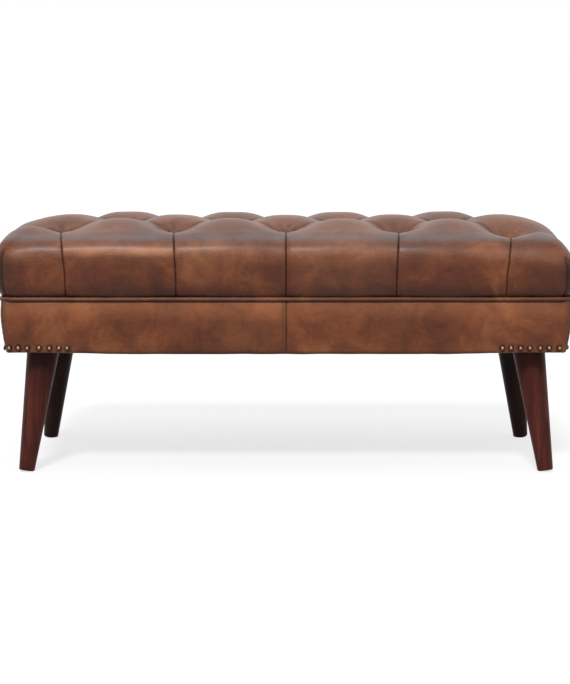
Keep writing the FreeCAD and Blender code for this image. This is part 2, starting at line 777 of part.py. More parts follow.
far = "bench_depth"
for y_name, y_sign in SIDES_Y.items():
    reach_y = f"{y_sign} * {far}"
    for x_name, x_sign in SIDES_X.items():
        region = prism(f"panel_region_{y_name}_{x_name}",
                       [("0", "0"), (f"{x_sign} * mitre_offset", "0"),
                        (f"{x_sign} * (mitre_offset + {far})", reach_y), ("0", reach_y)],
                       "0", "bench_height")
        node(common(f"panel_{y_name}_{x_name}", band_ring, region), f"band_{y_name}_{x_name}")
    region = prism(f"padding_region_{y_name}",
                   [("-mitre_offset", "0"), ("mitre_offset", "0"),
                    (f"mitre_offset + {far}", reach_y), (f"-mitre_offset - {far}", reach_y)],
                   "0", "bench_height")
    node(common(f"padding_{y_name}", padding_ring, region), f"rail_padding_{y_name}")
for x_name, x_sign in SIDES_X.items():
    reach_x = f"{x_sign} * (mitre_offset + {far})"
    region = prism(f"end_region_{x_name}",
                   [(f"{x_sign} * mitre_offset", "0"), (reach_x, far), (reach_x, f"-{far}")],
                   "0", "bench_height")
    node(common(f"panel_{x_name}", band_ring, region), f"band_{x_name}")
    node(common(f"padding_{x_name}", padding_ring, region), f"rail_padding_{x_name}")


# Piping: a leather-wrapped cord in the joint between band and seat, with a flat flange

def bead_tube(label, radius):
    """A round tube all the way round the bench at the piping's level."""
    body = new_body(label)
    route = new_sketch(body, level="bead_level")
    rounded_rectangle(route, "half_length - bead_setback", "half_depth - bead_setback",
                      "bead_corner")
    section = new_sketch(body, "YZ_Plane")
    size = value(radius)
    middle = FreeCAD.Vector(value("bead_setback - half_depth"), value("bead_level"), 0)
    section.addGeometry(Part.Circle(middle, Z_AXIS, size))
    pin(section, 0, CENTRE, "bead_setback - half_depth", "bead_level")
    limit = section.addConstraint(Sketcher.Constraint("Radius", 0, size))
    section.setExpression(f"Constraints[{limit}]", spell(radius))
    sweep = body.newObject("PartDesign::AdditivePipe", label + "_sweep")
    sweep.Profile = section
    sweep.Spine = route
    body.Tip = sweep
    return body


def edge_plate(label, setback, corner, bottom, height):
    """A rounded plate taken in from the seat's outline by a setback."""
    return rounded_plate(label, f"half_length - ({setback})", f"half_depth - ({setback})",
                         corner, bottom, height)


cord = node(bead_tube("cord", "cord_radius"), "piping_cord")
flange_outside = edge_plate("flange_outside", "bead_setback + bead_radius / 2",
                            "bead_corner - bead_radius / 2", "rail_top", "leather_thick")
seat_opening = edge_plate("seat_opening", "lip_setback + flange_width", "lip_corner",
                          "rail_bottom", "deck_bottom - rail_bottom")
flange = cut("flange", flange_outside, [seat_opening])
wrapped = fuse("wrapped_bead", bead_tube("bead", "bead_radius"), flange)
node(cut("piping", wrapped, [cord]), "piping_cover")


# Seat panel: deck, foam, wadding and the tufted leather cover

twines = node(tuft_posts("twine_posts", "twine_diameter",
                         "deck_bottom - washer_thick - twine_tail", "tuft_floor"), "tuft_twines")
washer_discs = tuft_posts("washer_discs", "washer_diameter", "deck_bottom - washer_thick",
                          "deck_bottom")
node(cut("washers", washer_discs, [twines]), "twine_washers")

buttons = tuft_posts("buttons", "button_diameter", "tuft_floor", "tuft_floor + button_thick")
doc.recompute()
button_top = value("tuft_floor + button_thick")
button_rims = edges_where(buttons.Tip.Shape,
                          lambda edge: edge.BoundBox.ZMin > button_top - value("fit_gap"))
round_edges(buttons, buttons.Tip, button_rims, "button_round")
node(buttons, "tuft_buttons")

deck_blank = edge_plate("deck_blank", "lip_setback + leather_thick",
                        "lip_corner - leather_thick", "deck_bottom", "deck_thick")
tuft_holes = tuft_posts("tuft_holes", "tuft_hole_diameter", "deck_bottom", "tuft_floor")
foam_holes = tuft_posts("foam_holes", "foam_hole_diameter", "deck_top", "tuft_floor")
foam_form = seat_form("foam_form", "foam_inset", "deck_top")
cover_inside = seat_form("cover_inside", "leather_thick", "seat_bottom + leather_thick",
                         "deck_bottom")
cover_outside = seat_form("cover_outside", "0", "seat_bottom", "return_bottom")

node(cut("deck", deck_blank, [tuft_holes, group("all_deck_screws", deck_side_screws)]), "seat_deck")
node(cut("foam", foam_form, [foam_holes]), "foam_pad")
node(cut("wadding_layer", cover_inside, [foam_form, deck_blank, tuft_holes]), "wadding")
node(cut("cover", cover_outside, [cover_inside, seat_opening, twines]), "seat_cover")


# Dust cover under the frame, with the bolts through it

dust_sheet = centred_box("dust_sheet", "dust_half_length", "dust_half_depth",
                         "dust_cover_bottom", "hem_bottom")
node(cut("dust", dust_sheet, [hanger_bolts, dust_staples]), "dust_cover")


# Every object and piece is tested before anything is written

doc.recompute()
for item in doc.Objects:
    if {"Invalid", "Error"} & set(item.State):
        raise RuntimeError(f"{item.Name} failed: {item.State}")
for item in nodes:
    if item.Shape.isNull() or not item.Shape.isValid() or not item.Shape.Solids:
        raise RuntimeError(f"{item.Label} has no valid solid")
    if len(item.Label) >= LABEL_LIMIT:
        raise RuntimeError(f"{item.Label} is too long a name")
if len({item.Label for item in nodes}) != len(nodes):
    raise RuntimeError("two pieces share a name")

os.makedirs(PARTS_FOLDER, exist_ok=True)
for item in nodes:
    item.Shape.exportStep(os.path.join(PARTS_FOLDER, item.Label + ".step"))
    print(item.Label, len(item.Shape.Solids), "solids", round(item.Shape.Volume), "mm3")
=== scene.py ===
import json
import math

import bmesh
import bpy
import numpy as np
from mathutils import Matrix, Vector, noise


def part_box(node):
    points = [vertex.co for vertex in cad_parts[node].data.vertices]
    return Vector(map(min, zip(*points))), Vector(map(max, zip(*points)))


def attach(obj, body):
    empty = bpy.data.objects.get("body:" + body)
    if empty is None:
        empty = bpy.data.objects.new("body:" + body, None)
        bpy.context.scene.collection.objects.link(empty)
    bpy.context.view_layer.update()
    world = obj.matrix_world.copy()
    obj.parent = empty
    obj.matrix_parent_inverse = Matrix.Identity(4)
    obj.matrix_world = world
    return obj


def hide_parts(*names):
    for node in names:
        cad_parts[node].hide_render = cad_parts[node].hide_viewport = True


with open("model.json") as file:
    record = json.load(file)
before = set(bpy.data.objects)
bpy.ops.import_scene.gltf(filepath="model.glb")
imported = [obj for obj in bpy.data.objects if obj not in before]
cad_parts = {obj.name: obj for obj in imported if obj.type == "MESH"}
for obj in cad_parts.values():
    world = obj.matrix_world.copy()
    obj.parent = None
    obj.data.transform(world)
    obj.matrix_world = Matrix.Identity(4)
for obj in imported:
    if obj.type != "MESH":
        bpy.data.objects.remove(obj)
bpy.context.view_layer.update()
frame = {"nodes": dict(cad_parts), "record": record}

# A long bench: tufted leather seat, piped joint, leather band with nails at its corners,
# four splayed turned legs. Metres; X along the bench, Y from front to back, Z up.

BODY = "root"
CORNERS = ("front_left", "front_right", "back_left", "back_right")

# Places and sizes read from the frame
cover_low, cover_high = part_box("seat_cover")
buttons_low, buttons_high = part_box("tuft_buttons")
twines_low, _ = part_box("tuft_twines")
deck_low, deck_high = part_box("seat_deck")
_, piping_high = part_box("piping_cover")
band_low, band_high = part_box("band_right")
dust_low, dust_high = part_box("dust_cover")
rail_low, rail_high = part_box("rail_front")
tack_low, tack_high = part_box("tack_strips")

SEAT_HALF_X = cover_high.x
SEAT_HALF_Y = cover_high.y
SEAT_FOOT = cover_low.z
BUTTON_RADIUS = 0.010
TUFT_STEP_X = (buttons_high.x - BUTTON_RADIUS) / 4
TUFT_STEP_Y = buttons_high.y - BUTTON_RADIUS
RAIL_HALF_X = rail_high.x
RAIL_HALF_Y = -rail_low.y

# Camera, solved from the feet, the band's corners and the tuft rows of the photograph
IMAGE_HEIGHT = 684
FOCAL_PIXELS = 1704
SENSOR = 36.0
CAMERA_PLACE = (-0.007, -3.435, 0.703)
CAMERA_PITCH_DOWN = math.radians(7.85)
CAMERA_TURN = -0.0015


def make_camera():
    data = bpy.data.cameras.new("camera")
    data.sensor_width = SENSOR
    data.lens = FOCAL_PIXELS / IMAGE_HEIGHT * SENSOR
    data.clip_start = 0.05
    data.clip_end = 60.0
    camera = bpy.data.objects.new("camera", data)
    camera.location = CAMERA_PLACE
    camera.rotation_euler = (math.pi / 2 - CAMERA_PITCH_DOWN, 0.0, CAMERA_TURN)
    bpy.context.scene.collection.objects.link(camera)
    bpy.context.scene.camera = camera


make_camera()


# Shader building

def srgb(red, green, blue):
    """A colour given in 0 to 255 display values, as linear RGBA."""
    linear = []
    for value in (red, green, blue):
        share = value / 255
        if share <= 0.04045:
            linear.append(share / 12.92)
        else:
            linear.append(((share + 0.055) / 1.055) ** 2.4)
    return (*linear, 1.0)


class Nodes:
    """A node tree under construction. Most methods add nodes and give back a socket."""

    def __init__(self, tree):
        self.tree = tree

    def feed(self, socket, value):
        if isinstance(value, bpy.types.NodeSocket):
            self.tree.links.new(value, socket)
        else:
            socket.default_value = value

    def add(self, kind, inputs=None, **settings):
        new = self.tree.nodes.new(kind)
        for name, value in settings.items():
            setattr(new, name, value)
        for socket, value in (inputs or {}).items():
            self.feed(new.inputs[socket], value)
        return new

    def math(self, operation, first, second=0.0):
        return self.add("ShaderNodeMath", {0: first, 1: second}, operation=operation).outputs[0]

    def weighted(self, *pairs):
        """The sum of each value times its share."""
        parts = [self.math("MULTIPLY", value, share) for value, share in pairs]
        total = parts[0]
        for part in parts[1:]:
            total = self.math("ADD", total, part)
        return total

    def span(self, value, low, high, to_low=0.0, to_high=1.0):
        """value mapped from low..high to to_low..to_high, clamped."""
        names = ("Value", "From Min", "From Max", "To Min", "To Max")
        inputs = dict(zip(names, (value, low, high, to_low, to_high)))
        return self.add("ShaderNodeMapRange", inputs).outputs["Result"]

    def seen_directly(self):
        """1 for camera, mirror and see-through rays, 0 for the light that falls on things."""
        path = self.add("ShaderNodeLightPath").outputs
        seen = self.math("MAXIMUM", path["Is Camera Ray"], path["Is Glossy Ray"])
        return self.math("MAXIMUM", seen, path["Is Transmission Ray"])


class Shader(Nodes):
    """A material under construction."""

    def __init__(self, name):
        self.material = bpy.data.materials.new(name)
        self.material.use_nodes = True
        super().__init__(self.material.node_tree)
        self.tree.nodes.clear()
        self.surface = self.add("ShaderNodeBsdfPrincipled")
        output = self.add("ShaderNodeOutputMaterial")
        self.tree.links.new(self.surface.outputs["BSDF"], output.inputs["Surface"])
        self.place = self.add("ShaderNodeTexCoord").outputs["Object"]

    def stretched(self, x, y, z, turn=(0.0, 0.0, 0.0)):
        """Object coordinates scaled by x, y, z after a turn."""
        inputs = {"Vector": self.place, "Scale": (x, y, z), "Rotation": turn}
        return self.add("ShaderNodeMapping", inputs).outputs["Vector"]

    def noise(self, scale, detail=3.0, roughness=0.5, distortion=0.0, vector=None):
        names = ("Vector", "Scale", "Detail", "Roughness", "Distortion")
        inputs = dict(zip(names, (vector or self.place, scale, detail, roughness, distortion)))
        return self.add("ShaderNodeTexNoise", inputs).outputs["Fac"]

    def cells(self, scale):
        inputs = {"Vector": self.place, "Scale": scale}
        return self.add("ShaderNodeTexVoronoi", inputs).outputs["Distance"]

    def waves(self, scale, distortion, vector=None, **settings):
        inputs = {"Vector": vector or self.place, "Scale": scale, "Distortion": distortion}
        return self.add("ShaderNodeTexWave", inputs, **settings).outputs["Fac"]

    def attribute(self, name):
        return self.add("ShaderNodeAttribute", attribute_name=name).outputs["Fac"]

    def ramp(self, value, stops):
        new = self.add("ShaderNodeValToRGB", {"Fac": value})
        elements = new.color_ramp.elements
        while len(elements) < len(stops):
            elements.new(0.5)
        for element, (position, color) in zip(elements, stops):
            element.position = position
            element.color = color
        return new.outputs["Color"]

    def mix(self, share, first, second):
        new = self.add("ShaderNodeMix", data_type="RGBA")
        self.feed(new.inputs["Factor"], share)
        self.feed(new.inputs[6], first)
        self.feed(new.inputs[7], second)
        return new.outputs[2]

    def bump(self, height, strength, distance, normal=None):
        inputs = {"Height": height, "Strength": strength, "Distance": distance}
        if normal:
            inputs["Normal"] = normal
        return self.add("ShaderNodeBump", inputs).outputs["Normal"]

    def finish(self, **inputs):
        for socket, value in inputs.items():
            self.feed(self.surface.inputs[socket.replace("_", " ")], value)
        return self.material


def leather(name, dark, middle, light, worn_and_lit):
    """Waxed, hand-rubbed leather: cloudy tone, scuffs, pores and fine creases. The mesh
    may carry shares of painted shade with some dirt (in creases, seams and under parts),
    of wear with painted highlights, of a painted grey sheen, and of a line of stitches."""
    shader = Shader(name)
    clouds = shader.noise(4.5, 3.0, 0.55, 0.6)
    patches = shader.noise(19.0, 5.0, 0.62, 0.8)
    specks = shader.noise(120.0, 4.0, 0.6)
    tone = shader.weighted((clouds, 0.55), (patches, 0.38), (specks, 0.10))
    color = shader.ramp(tone, [(0.38, dark), (0.52, middle), (0.66, light)])
    # long pale scuffs where the hide was pulled over the frame
    drag = shader.stretched(6.0, 6.0, 22.0, (0.2, 0.35, 0.6))
    scuffs = shader.span(shader.noise(3.0, 6.0, 0.68, 1.2, drag), 0.60, 0.78)
    color = shader.mix(shader.math("MULTIPLY", scuffs, 0.25), color, light)
    # painted sheen: a grey-blue reflection of the bright surroundings, painted into the colour in
    # patches
    patchy = shader.span(patches, 0.3, 0.7, 0.7, 1.0)
    bloom = shader.math("MULTIPLY", shader.attribute("bloom"), patchy)
    sheen_tint = shader.mix(bloom, srgb(122, 102, 86), srgb(104, 112, 122))
    color = shader.mix(bloom, color, sheen_tint)
    # wear and painted highlights: paler where the leather is rubbed thin and where a lamp's highlight
    # is painted on
    patchy = shader.span(patches, 0.3, 0.7, 0.6, 1.0)
    rub = shader.math("MULTIPLY", shader.attribute("rub"), patchy)
    color = shader.mix(rub, color, worn_and_lit)
    # painted shade with some dirt: creases, seams, tuft pits and parts under the piping are darkened in
    # the colour
    shade_and_grime = shader.math("MULTIPLY", shader.attribute("fold"), 0.8)
    color = shader.mix(shade_and_grime, color, srgb(26, 13, 11))
    holes = shader.span(shader.waves(87.0, 0.0, bands_direction="Z"), 0.35, 0.6)
    holes = shader.math("MULTIPLY", shader.attribute("stitch"), holes)
    color = shader.mix(shader.math("MULTIPLY", holes, 0.7), color, dark)
    pores = shader.cells(620.0)
    grain = shader.noise(210.0, 5.0, 0.7, 0.5)
    pull = shader.stretched(10.0, 10.0, 30.0, (0.4, 0.1, 0.9))
    creases = shader.noise(3.2, 6.0, 0.6, 1.5, pull)
    normal = shader.bump(creases, 0.25, 0.004)
    normal = shader.bump(grain, 0.22, 0.0012, normal)
    normal = shader.bump(pores, 0.18, 0.0006, normal)
    worn_gloss = shader.math("ADD", patches, shader.math("MULTIPLY", grain, 0.3))
    return shader.finish(
        Base_Color=color,
        Roughness=shader.span(worn_gloss, 0.4, 0.9, 0.36, 0.50),
        Normal=normal,
        Specular_IOR_Level=0.20,
        Coat_Weight=0.10,
        Coat_Roughness=0.24,
    )


def stained_wood(name, dark, middle, light):
    """Turned hardwood under a mahogany stain: fine long grain, pores, satin lacquer, and
    a painted shadow towards the top, where the wood meets the frame under the seat."""
    shader = Shader(name)
    height = shader.add("ShaderNodeSeparateXYZ", {"Vector": shader.place}).outputs["Z"]
    along = shader.stretched(1.0, 1.0, 0.05)
    streaks = shader.noise(95.0, 6.0, 0.65, 0.6, along)
    figure = shader.noise(22.0, 3.0, 0.5, 1.4, along)
    tone = shader.weighted((streaks, 0.5), (figure, 0.5))
    color = shader.ramp(tone, [(0.34, dark), (0.52, middle), (0.72, light)])
    pores = shader.span(shader.noise(420.0, 3.0, 0.6, 0.0, along), 0.60, 0.72)
    color = shader.mix(shader.math("MULTIPLY", pores, 0.45), color, dark)
    # painted shadow of the seat: darker towards the top
    color = shader.mix(shader.span(height, 0.14, 0.236, 0.0, 0.7), color, dark)
    normal = shader.bump(streaks, 0.12, 0.0008)
    normal = shader.bump(pores, 0.15, 0.0004, normal)
    return shader.finish(
        Base_Color=color,
        Roughness=shader.span(figure, 0.3, 0.7, 0.36, 0.48),
        Normal=normal,
        Specular_IOR_Level=0.06,
        Coat_Weight=0.03,
        Coat_Roughness=0.25,
    )


def raw_wood(name, dark, light, along):
    """Sawn softwood or ply, unfinished: straight grain along one axis."""
    shader = Shader(name)
    stretch = [0.06 if axis == along else 1.0 for axis in "xyz"]
    vector = shader.stretched(*stretch)
    rings = shader.waves(30.0, 5.0, vector, bands_direction="DIAGONAL")
    fibres = shader.noise(260.0, 4.0, 0.6, 0.0, vector)
    tone = shader.weighted((rings, 0.55), (fibres, 0.45))
    color = shader.ramp(tone, [(0.25, dark), (0.75, light)])
    return shader.finish(
        Base_Color=color,
        Roughness=shader.span(fibres, 0.3, 0.7, 0.55, 0.75),
        Normal=shader.bump(fibres, 0.3, 0.0006),
    )


def cloth(name, base, pale, threads_per_metre):
    """Plain woven or bonded cloth, with a visible thread on both axes."""
    shader = Shader(name)
    scale = threads_per_metre / 6.3
    warp = shader.waves(scale, 0.3, bands_direction="X")
    weft = shader.waves(scale, 0.3, bands_direction="Y")
    weave = shader.math("MAXIMUM", warp, weft)
    fuzz = shader.noise(700.0, 3.0, 0.6)
    tone = shader.weighted((weave, 0.4), (fuzz, 0.6))
    return shader.finish(
        Base_Color=shader.ramp(tone, [(0.25, base), (0.85, pale)]),
        Roughness=shader.span(fuzz, 0.3, 0.7, 0.8, 0.95),
        Normal=shader.bump(weave, 0.4, 0.0004),
        Sheen_Weight=0.15,
    )


def soft_fill(name, base, pale, cell):
    """Foam or batting: open cells and fluff."""
    shader = Shader(name)
    holes = shader.cells(cell)
    fluff = shader.noise(cell * 0.3, 5.0, 0.7)
    tone = shader.weighted((holes, 0.5), (fluff, 0.5))
    return shader.finish(
        Base_Color=shader.ramp(tone, [(0.2, base), (0.7, pale)]),
        Roughness=shader.span(fluff, 0.3, 0.7, 0.85, 0.98),
        Normal=shader.bump(holes, 0.5, 0.0010),
    )


def metal(name, dark, bright, rough_low, rough_high, patina, worn_and_lit=None):
    """Metal with patina in patches and fine scratches. The mesh may carry a share where
    the colour turns pale: a painted highlight, shown as metal rubbed bright."""
    shader = Shader(name)
    stains = shader.noise(180.0, 5.0, 0.65, 0.4)
    brushed = shader.stretched(1.0, 0.15, 1.0, (0.3, 0.5, 0.8))
    scratches = shader.noise(900.0, 2.0, 0.5, 0.0, brushed)
    share = shader.math("MULTIPLY", shader.span(stains, 0.38, 0.62), patina)
    color = shader.mix(share, bright, dark)
    # painted highlight: the pale colour where the mesh asks for it
    if worn_and_lit:
        color = shader.mix(shader.attribute("rub"), color, worn_and_lit)
    return shader.finish(
        Base_Color=color,
        Metallic=1.0,
        Roughness=shader.span(stains, 0.3, 0.7, rough_low, rough_high),
        Normal=shader.bump(scratches, 0.12, 0.0003),
    )


MATERIALS = {
    "leather_seat": leather(
        "seat_leather", srgb(68, 34, 23), srgb(102, 53, 33), srgb(142, 86, 54), srgb(186, 128, 92)
    ),
    "leather_band": leather(
        "band_leather", srgb(84, 43, 27), srgb(121, 66, 40), srgb(155, 94, 59), srgb(174, 112, 73)
    ),
    "leather_piping": leather(
        "piping_leather", srgb(64, 34, 23), srgb(94, 53, 35), srgb(126, 80, 56), srgb(150, 100, 72)
    ),
    "leather_button": leather(
        "button_leather", srgb(56, 30, 22), srgb(82, 46, 33), srgb(112, 70, 50), srgb(130, 88, 64)
    ),
    "leg_wood": stained_wood("mahogany_stain", srgb(40, 20, 18), srgb(84, 41, 35), srgb(116, 61, 48)),
    "frame_wood": raw_wood("frame_pine", srgb(176, 132, 84), srgb(222, 188, 138), "x"),
    "dowel_wood": raw_wood("beech_dowel", srgb(190, 150, 104), srgb(226, 194, 150), "x"),
    "deck_plywood": raw_wood("birch_ply", srgb(188, 150, 100), srgb(224, 194, 150), "y"),
    # the last colour of the brass is its painted highlight
    "nail_brass": metal(
        "antique_brass", srgb(40, 25, 16), srgb(82, 54, 34), 0.24, 0.38, 0.7, srgb(196, 156, 138)
    ),
    "steel": metal("zinced_steel", srgb(120, 120, 122), srgb(186, 188, 192), 0.28, 0.45, 0.5),
    "foam": soft_fill("upholstery_foam", srgb(214, 204, 166), srgb(236, 228, 196), 600.0),
    "wadding": soft_fill("polyester_wadding", srgb(222, 222, 218), srgb(244, 244, 240), 240.0),
    "twine": cloth("waxed_twine", srgb(176, 160, 120), srgb(214, 202, 166), 1400.0),
    "tack_card": soft_fill("tack_card", srgb(134, 110, 82), srgb(168, 144, 112), 320.0),
    "dust_cover_cloth": cloth("black_dust_cloth", srgb(20, 20, 22), srgb(44, 43, 46), 900.0),
}
# painted shade: a darker copy of the leg material for the back legs, which stand in the seat's shadow
SHADED_BACK_LEG_MATERIAL = stained_wood(
    "dark_mahogany_stain", srgb(25, 17, 16), srgb(42, 25, 23), srgb(64, 36, 31)
)


def paint_frame():
    """Every CAD node gets its material; the ones that stay visible keep these."""
    for part in frame["record"]["subparts"]:
        material = MATERIALS[part["material_slot"]]
        # the back legs take the shaded copy
        if part["node"].startswith("leg_back"):
            material = SHADED_BACK_LEG_MATERIAL
        for place in frame["nodes"][part["node"]].material_slots:
            place.material = material


paint_frame()


# Mesh helpers

def new_piece(name, vertices, faces, slot_name):
    """A mesh object from plain lists, with the record's slot and that slot's material."""
    mesh = bpy.data.meshes.new(name)
    mesh.from_pydata([tuple(v) for v in vertices], [], [tuple(f) for f in faces])
    mesh.validate()
    mesh.materials.append(MATERIALS[slot_name])
    for face in mesh.polygons:
        face.use_smooth = True
    piece = bpy.data.objects.new(name, mesh)
    bpy.context.scene.collection.objects.link(piece)
    return piece


def settle(piece, *nodes):
    """piece rides on the bench and stands for these CAD nodes."""
    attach(piece, BODY)
    if nodes:
        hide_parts(*nodes)
    return piece


def read_vectors(collection, name):
    values = np.empty(len(collection) * 3)
    collection.foreach_get(name, values)
    return values.reshape(-1, 3)


def read_points(mesh):
    return read_vectors(mesh.vertices, "co")


def write_points(mesh, points):
    mesh.vertices.foreach_set("co", points.ravel())
    mesh.update()


def write_attribute(mesh, name, values):
    attribute = mesh.attributes.new(name, "FLOAT", "POINT")
    attribute.data.foreach_set("value", np.asarray(values, np.float32))


def smoothstep(values, low, high):
    share = np.clip((values - low) / (high - low), 0.0, 1.0)
    return share * share * (3 - 2 * share)


def bell(values, width):
    """1 at 0, falling away smoothly over width on both sides."""
    return np.exp(-(values / width) ** 2)


def roughness_at(points, scale, seed):
    """Smooth noise between -1 and 1 at each point."""
    shift = Vector((seed * 7.13, seed * 3.71, seed * 1.93))
    return np.array([noise.noise(Vector(p) * scale + shift) for p in points])


def bake_modifiers(piece):
    """Applies every modifier, so that the mesh is final."""
    graph = bpy.context.evaluated_depsgraph_get()
    graph.update()
    final = bpy.data.meshes.new_from_object(piece.evaluated_get(graph), depsgraph=graph)
    final.name = piece.data.name
    piece.modifiers.clear()
    piece.data = final


def thicken(piece, thickness, offset=-1.0):
    shell = piece.modifiers.new("shell", "SOLIDIFY")
    shell.thickness = thickness
    shell.offset = offset
    bake_modifiers(piece)


def grid_faces(columns, rows):
    """Faces of a grid whose points are numbered column after column."""
    faces = []
    for column in range(columns - 1):
        for row in range(rows - 1):
            first = column * rows + row
            faces.append((first, first + rows, first + rows + 1, first + 1))
    return faces


def bridge(upper, lower):
    """Faces between two closed rings of point numbers, facing outwards."""
    faces = []
    for place in range(len(upper)):
        following = (place + 1) % len(upper)
        faces.append((upper[place], lower[place], lower[following], upper[following]))
    return faces


# Seat cover

SEAT_RADIUS = 0.034          # rounding of the seat's edges before the crown is added
SEAT_PLANE = 0.4745          # level that the pillows rise from and the tufts sink from
PILLOW_RISE = 0.0135         # half the height from a tuft's lip to a pillow's crest
TUFT_CELLS = 24              # grid cells from one tuft to the next, along X and along Y
PLEAT_LEAN = 0.035           # the long faces' pleats lean towards the middle
LONG_CROWN = 0.020           # fall of the top towards its long edges
LEFT_CROWN = 0.012           # fall towards the left end
RIGHT_CROWN = 0.014          # fall towards the right end
RIGHT_DROP = 0.020           # and a steeper fall at its very edge
WORN_CORNER = 0.009          # the front right corner has sunk with use
LONG_PUFF = 0.0035           # bulge of the long faces
END_PUFF = 0.0070            # bulge of the short faces
JOINT_TUCK = 0.009           # the cover runs in under the piping
COVER_BOTTOM = SEAT_FOOT + 0.0054
LEFT_SEAM = -SEAT_HALF_X + 0.011
RIGHT_SEAM = SEAT_HALF_X - 0.017
SEAM_TOP = 0.438             # the corner seams stop below the shoulder
SHOULDER = 0.433             # level of the painted highlight along the shoulder, shown as rubbed leather
CROWN_START_X = 0.42         # the top starts to fall here, towards the ends
CROWN_START_Y = 0.10         # and here, towards the long edges
ABOVE_SEAT = 0.52
DOWN = Vector((0, 0, -1))
# extra grid lines beside each pleat and seam
FINE_LINES = (0.0005, 0.0013, 0.0026)
# (height, inset) of the rows that turn the cover in under the deck's edge
LIP_ROWS = ((0.0004, 0.0004), (-0.0036, 0.0010), (-0.0052, 0.0030), (-0.0052, 0.020), (0.0020, 0.021))

PLEAT_COLUMNS = [column * TUFT_STEP_X for column in (-4, -2, 0, 2, 4)]
TUFTS = [(x, row * TUFT_STEP_Y) for row in (-1, 1) for x in PLEAT_COLUMNS]
TUFTS += [(column * TUFT_STEP_X, 0.0) for column in (-3, -1, 1, 3)]
# two tufts of the front row are drawn down harder than the rest
DEEP_TUFTS = {(2, -1): 0.0075, (4, -1): 0.0090}


def crease_lines():
    """(start, end, depth share) of each fold, on the unrolled cover."""
    lines = []
    reach = 0.20
    for x, y in TUFTS:
        if abs(y) < 1e-6:
            for side_x in (-1, 1):
                for side_y in (-1, 1):
                    end = (x + side_x * TUFT_STEP_X, side_y * TUFT_STEP_Y)
                    lines.append(((x, y), end, 1.0))
        else:
            outward = math.copysign(SEAT_HALF_Y + reach, y)
            lines.append(((x, y), (x, outward), 1.0))
            if abs(x) > 3.5 * TUFT_STEP_X:
                lines.append(((x, y), (math.copysign(SEAT_HALF_X + reach, x), y), 0.9))
                corner = (math.copysign(SEAT_HALF_X, x), math.copysign(SEAT_HALF_Y, y))
                lines.append(((x, y), corner, 0.25))
    return lines


def line_distance(flat, start, end):
    start = np.array(start)
    run = np.array(end) - start
    share = np.clip(((flat - start) @ run) / (run @ run), 0.0, 1.0)
    return np.linalg.norm(flat - (start + share[:, None] * run), axis=1)


def fold_depth(flat, width):
    """1 in the bottom of a fold, falling away over width, and 0 between folds."""
    depth = np.zeros(len(flat))
    for start, end, share in crease_lines():
        depth = np.maximum(depth, share * np.exp(-line_distance(flat, start, end) / width))
    return depth


def tuft_distance(flat):
    return np.min([np.hypot(flat[:, 0] - x, flat[:, 1] - y) for x, y in TUFTS], axis=0)


def fading(run, reach):
    """How strongly the pillows still show this far outside the last tuft row."""
    return 0.08 + 0.92 * np.exp(-(run / reach) ** 2)


def tuft_wave(flat):
    """1 at the tufts, 0 at the middle of the pillows, on the unrolled cover."""
    x, y = np.abs(flat[:, 0]), np.abs(flat[:, 1])
    last_x = 4 * TUFT_STEP_X
    wave_x = np.cos(np.pi * np.minimum(x, last_x) / TUFT_STEP_X)
    wave_y = np.cos(np.pi * np.minimum(y, TUFT_STEP_Y) / TUFT_STEP_Y)
    wave = 0.5 - 0.5 * wave_x * wave_y
    # the front row's pillows are peaked, the others broad with narrow valleys
    sharpness = 1.75 - 0.5 * smoothstep(-flat[:, 1], 0.04, 0.11)
    wave = np.clip(wave, 0.0, 1.0) ** sharpness
    outside_x = np.maximum(x - last_x, 0.0)
    outside_y = np.maximum(y - TUFT_STEP_Y, 0.0)
    level = 0.42
    wave = level + (wave - level) * fading(outside_x, 0.060) * fading(outside_y, 0.058)
    corner = np.exp(-((outside_x - 0.055) ** 2 + (outside_y - 0.050) ** 2) / 0.036 ** 2)
    return wave - 0.36 * corner


def grid_lines(half, step, cells, fine_places=()):
    """Grid lines across the seat, on every tuft, with narrow ones beside the pleats."""
    cell = step / cells
    count = int(half / cell)
    if half - count * cell < 0.4 * cell:
        count -= 1
    lines = {round(index * cell, 6) for index in range(-count, count + 1)}
    lines |= {round(half, 6), round(-half, 6)}
    for place in fine_places:
        for offset in FINE_LINES:
            lines |= {round(place + offset, 6), round(place - offset, 6)}
    return np.array(sorted(lines))


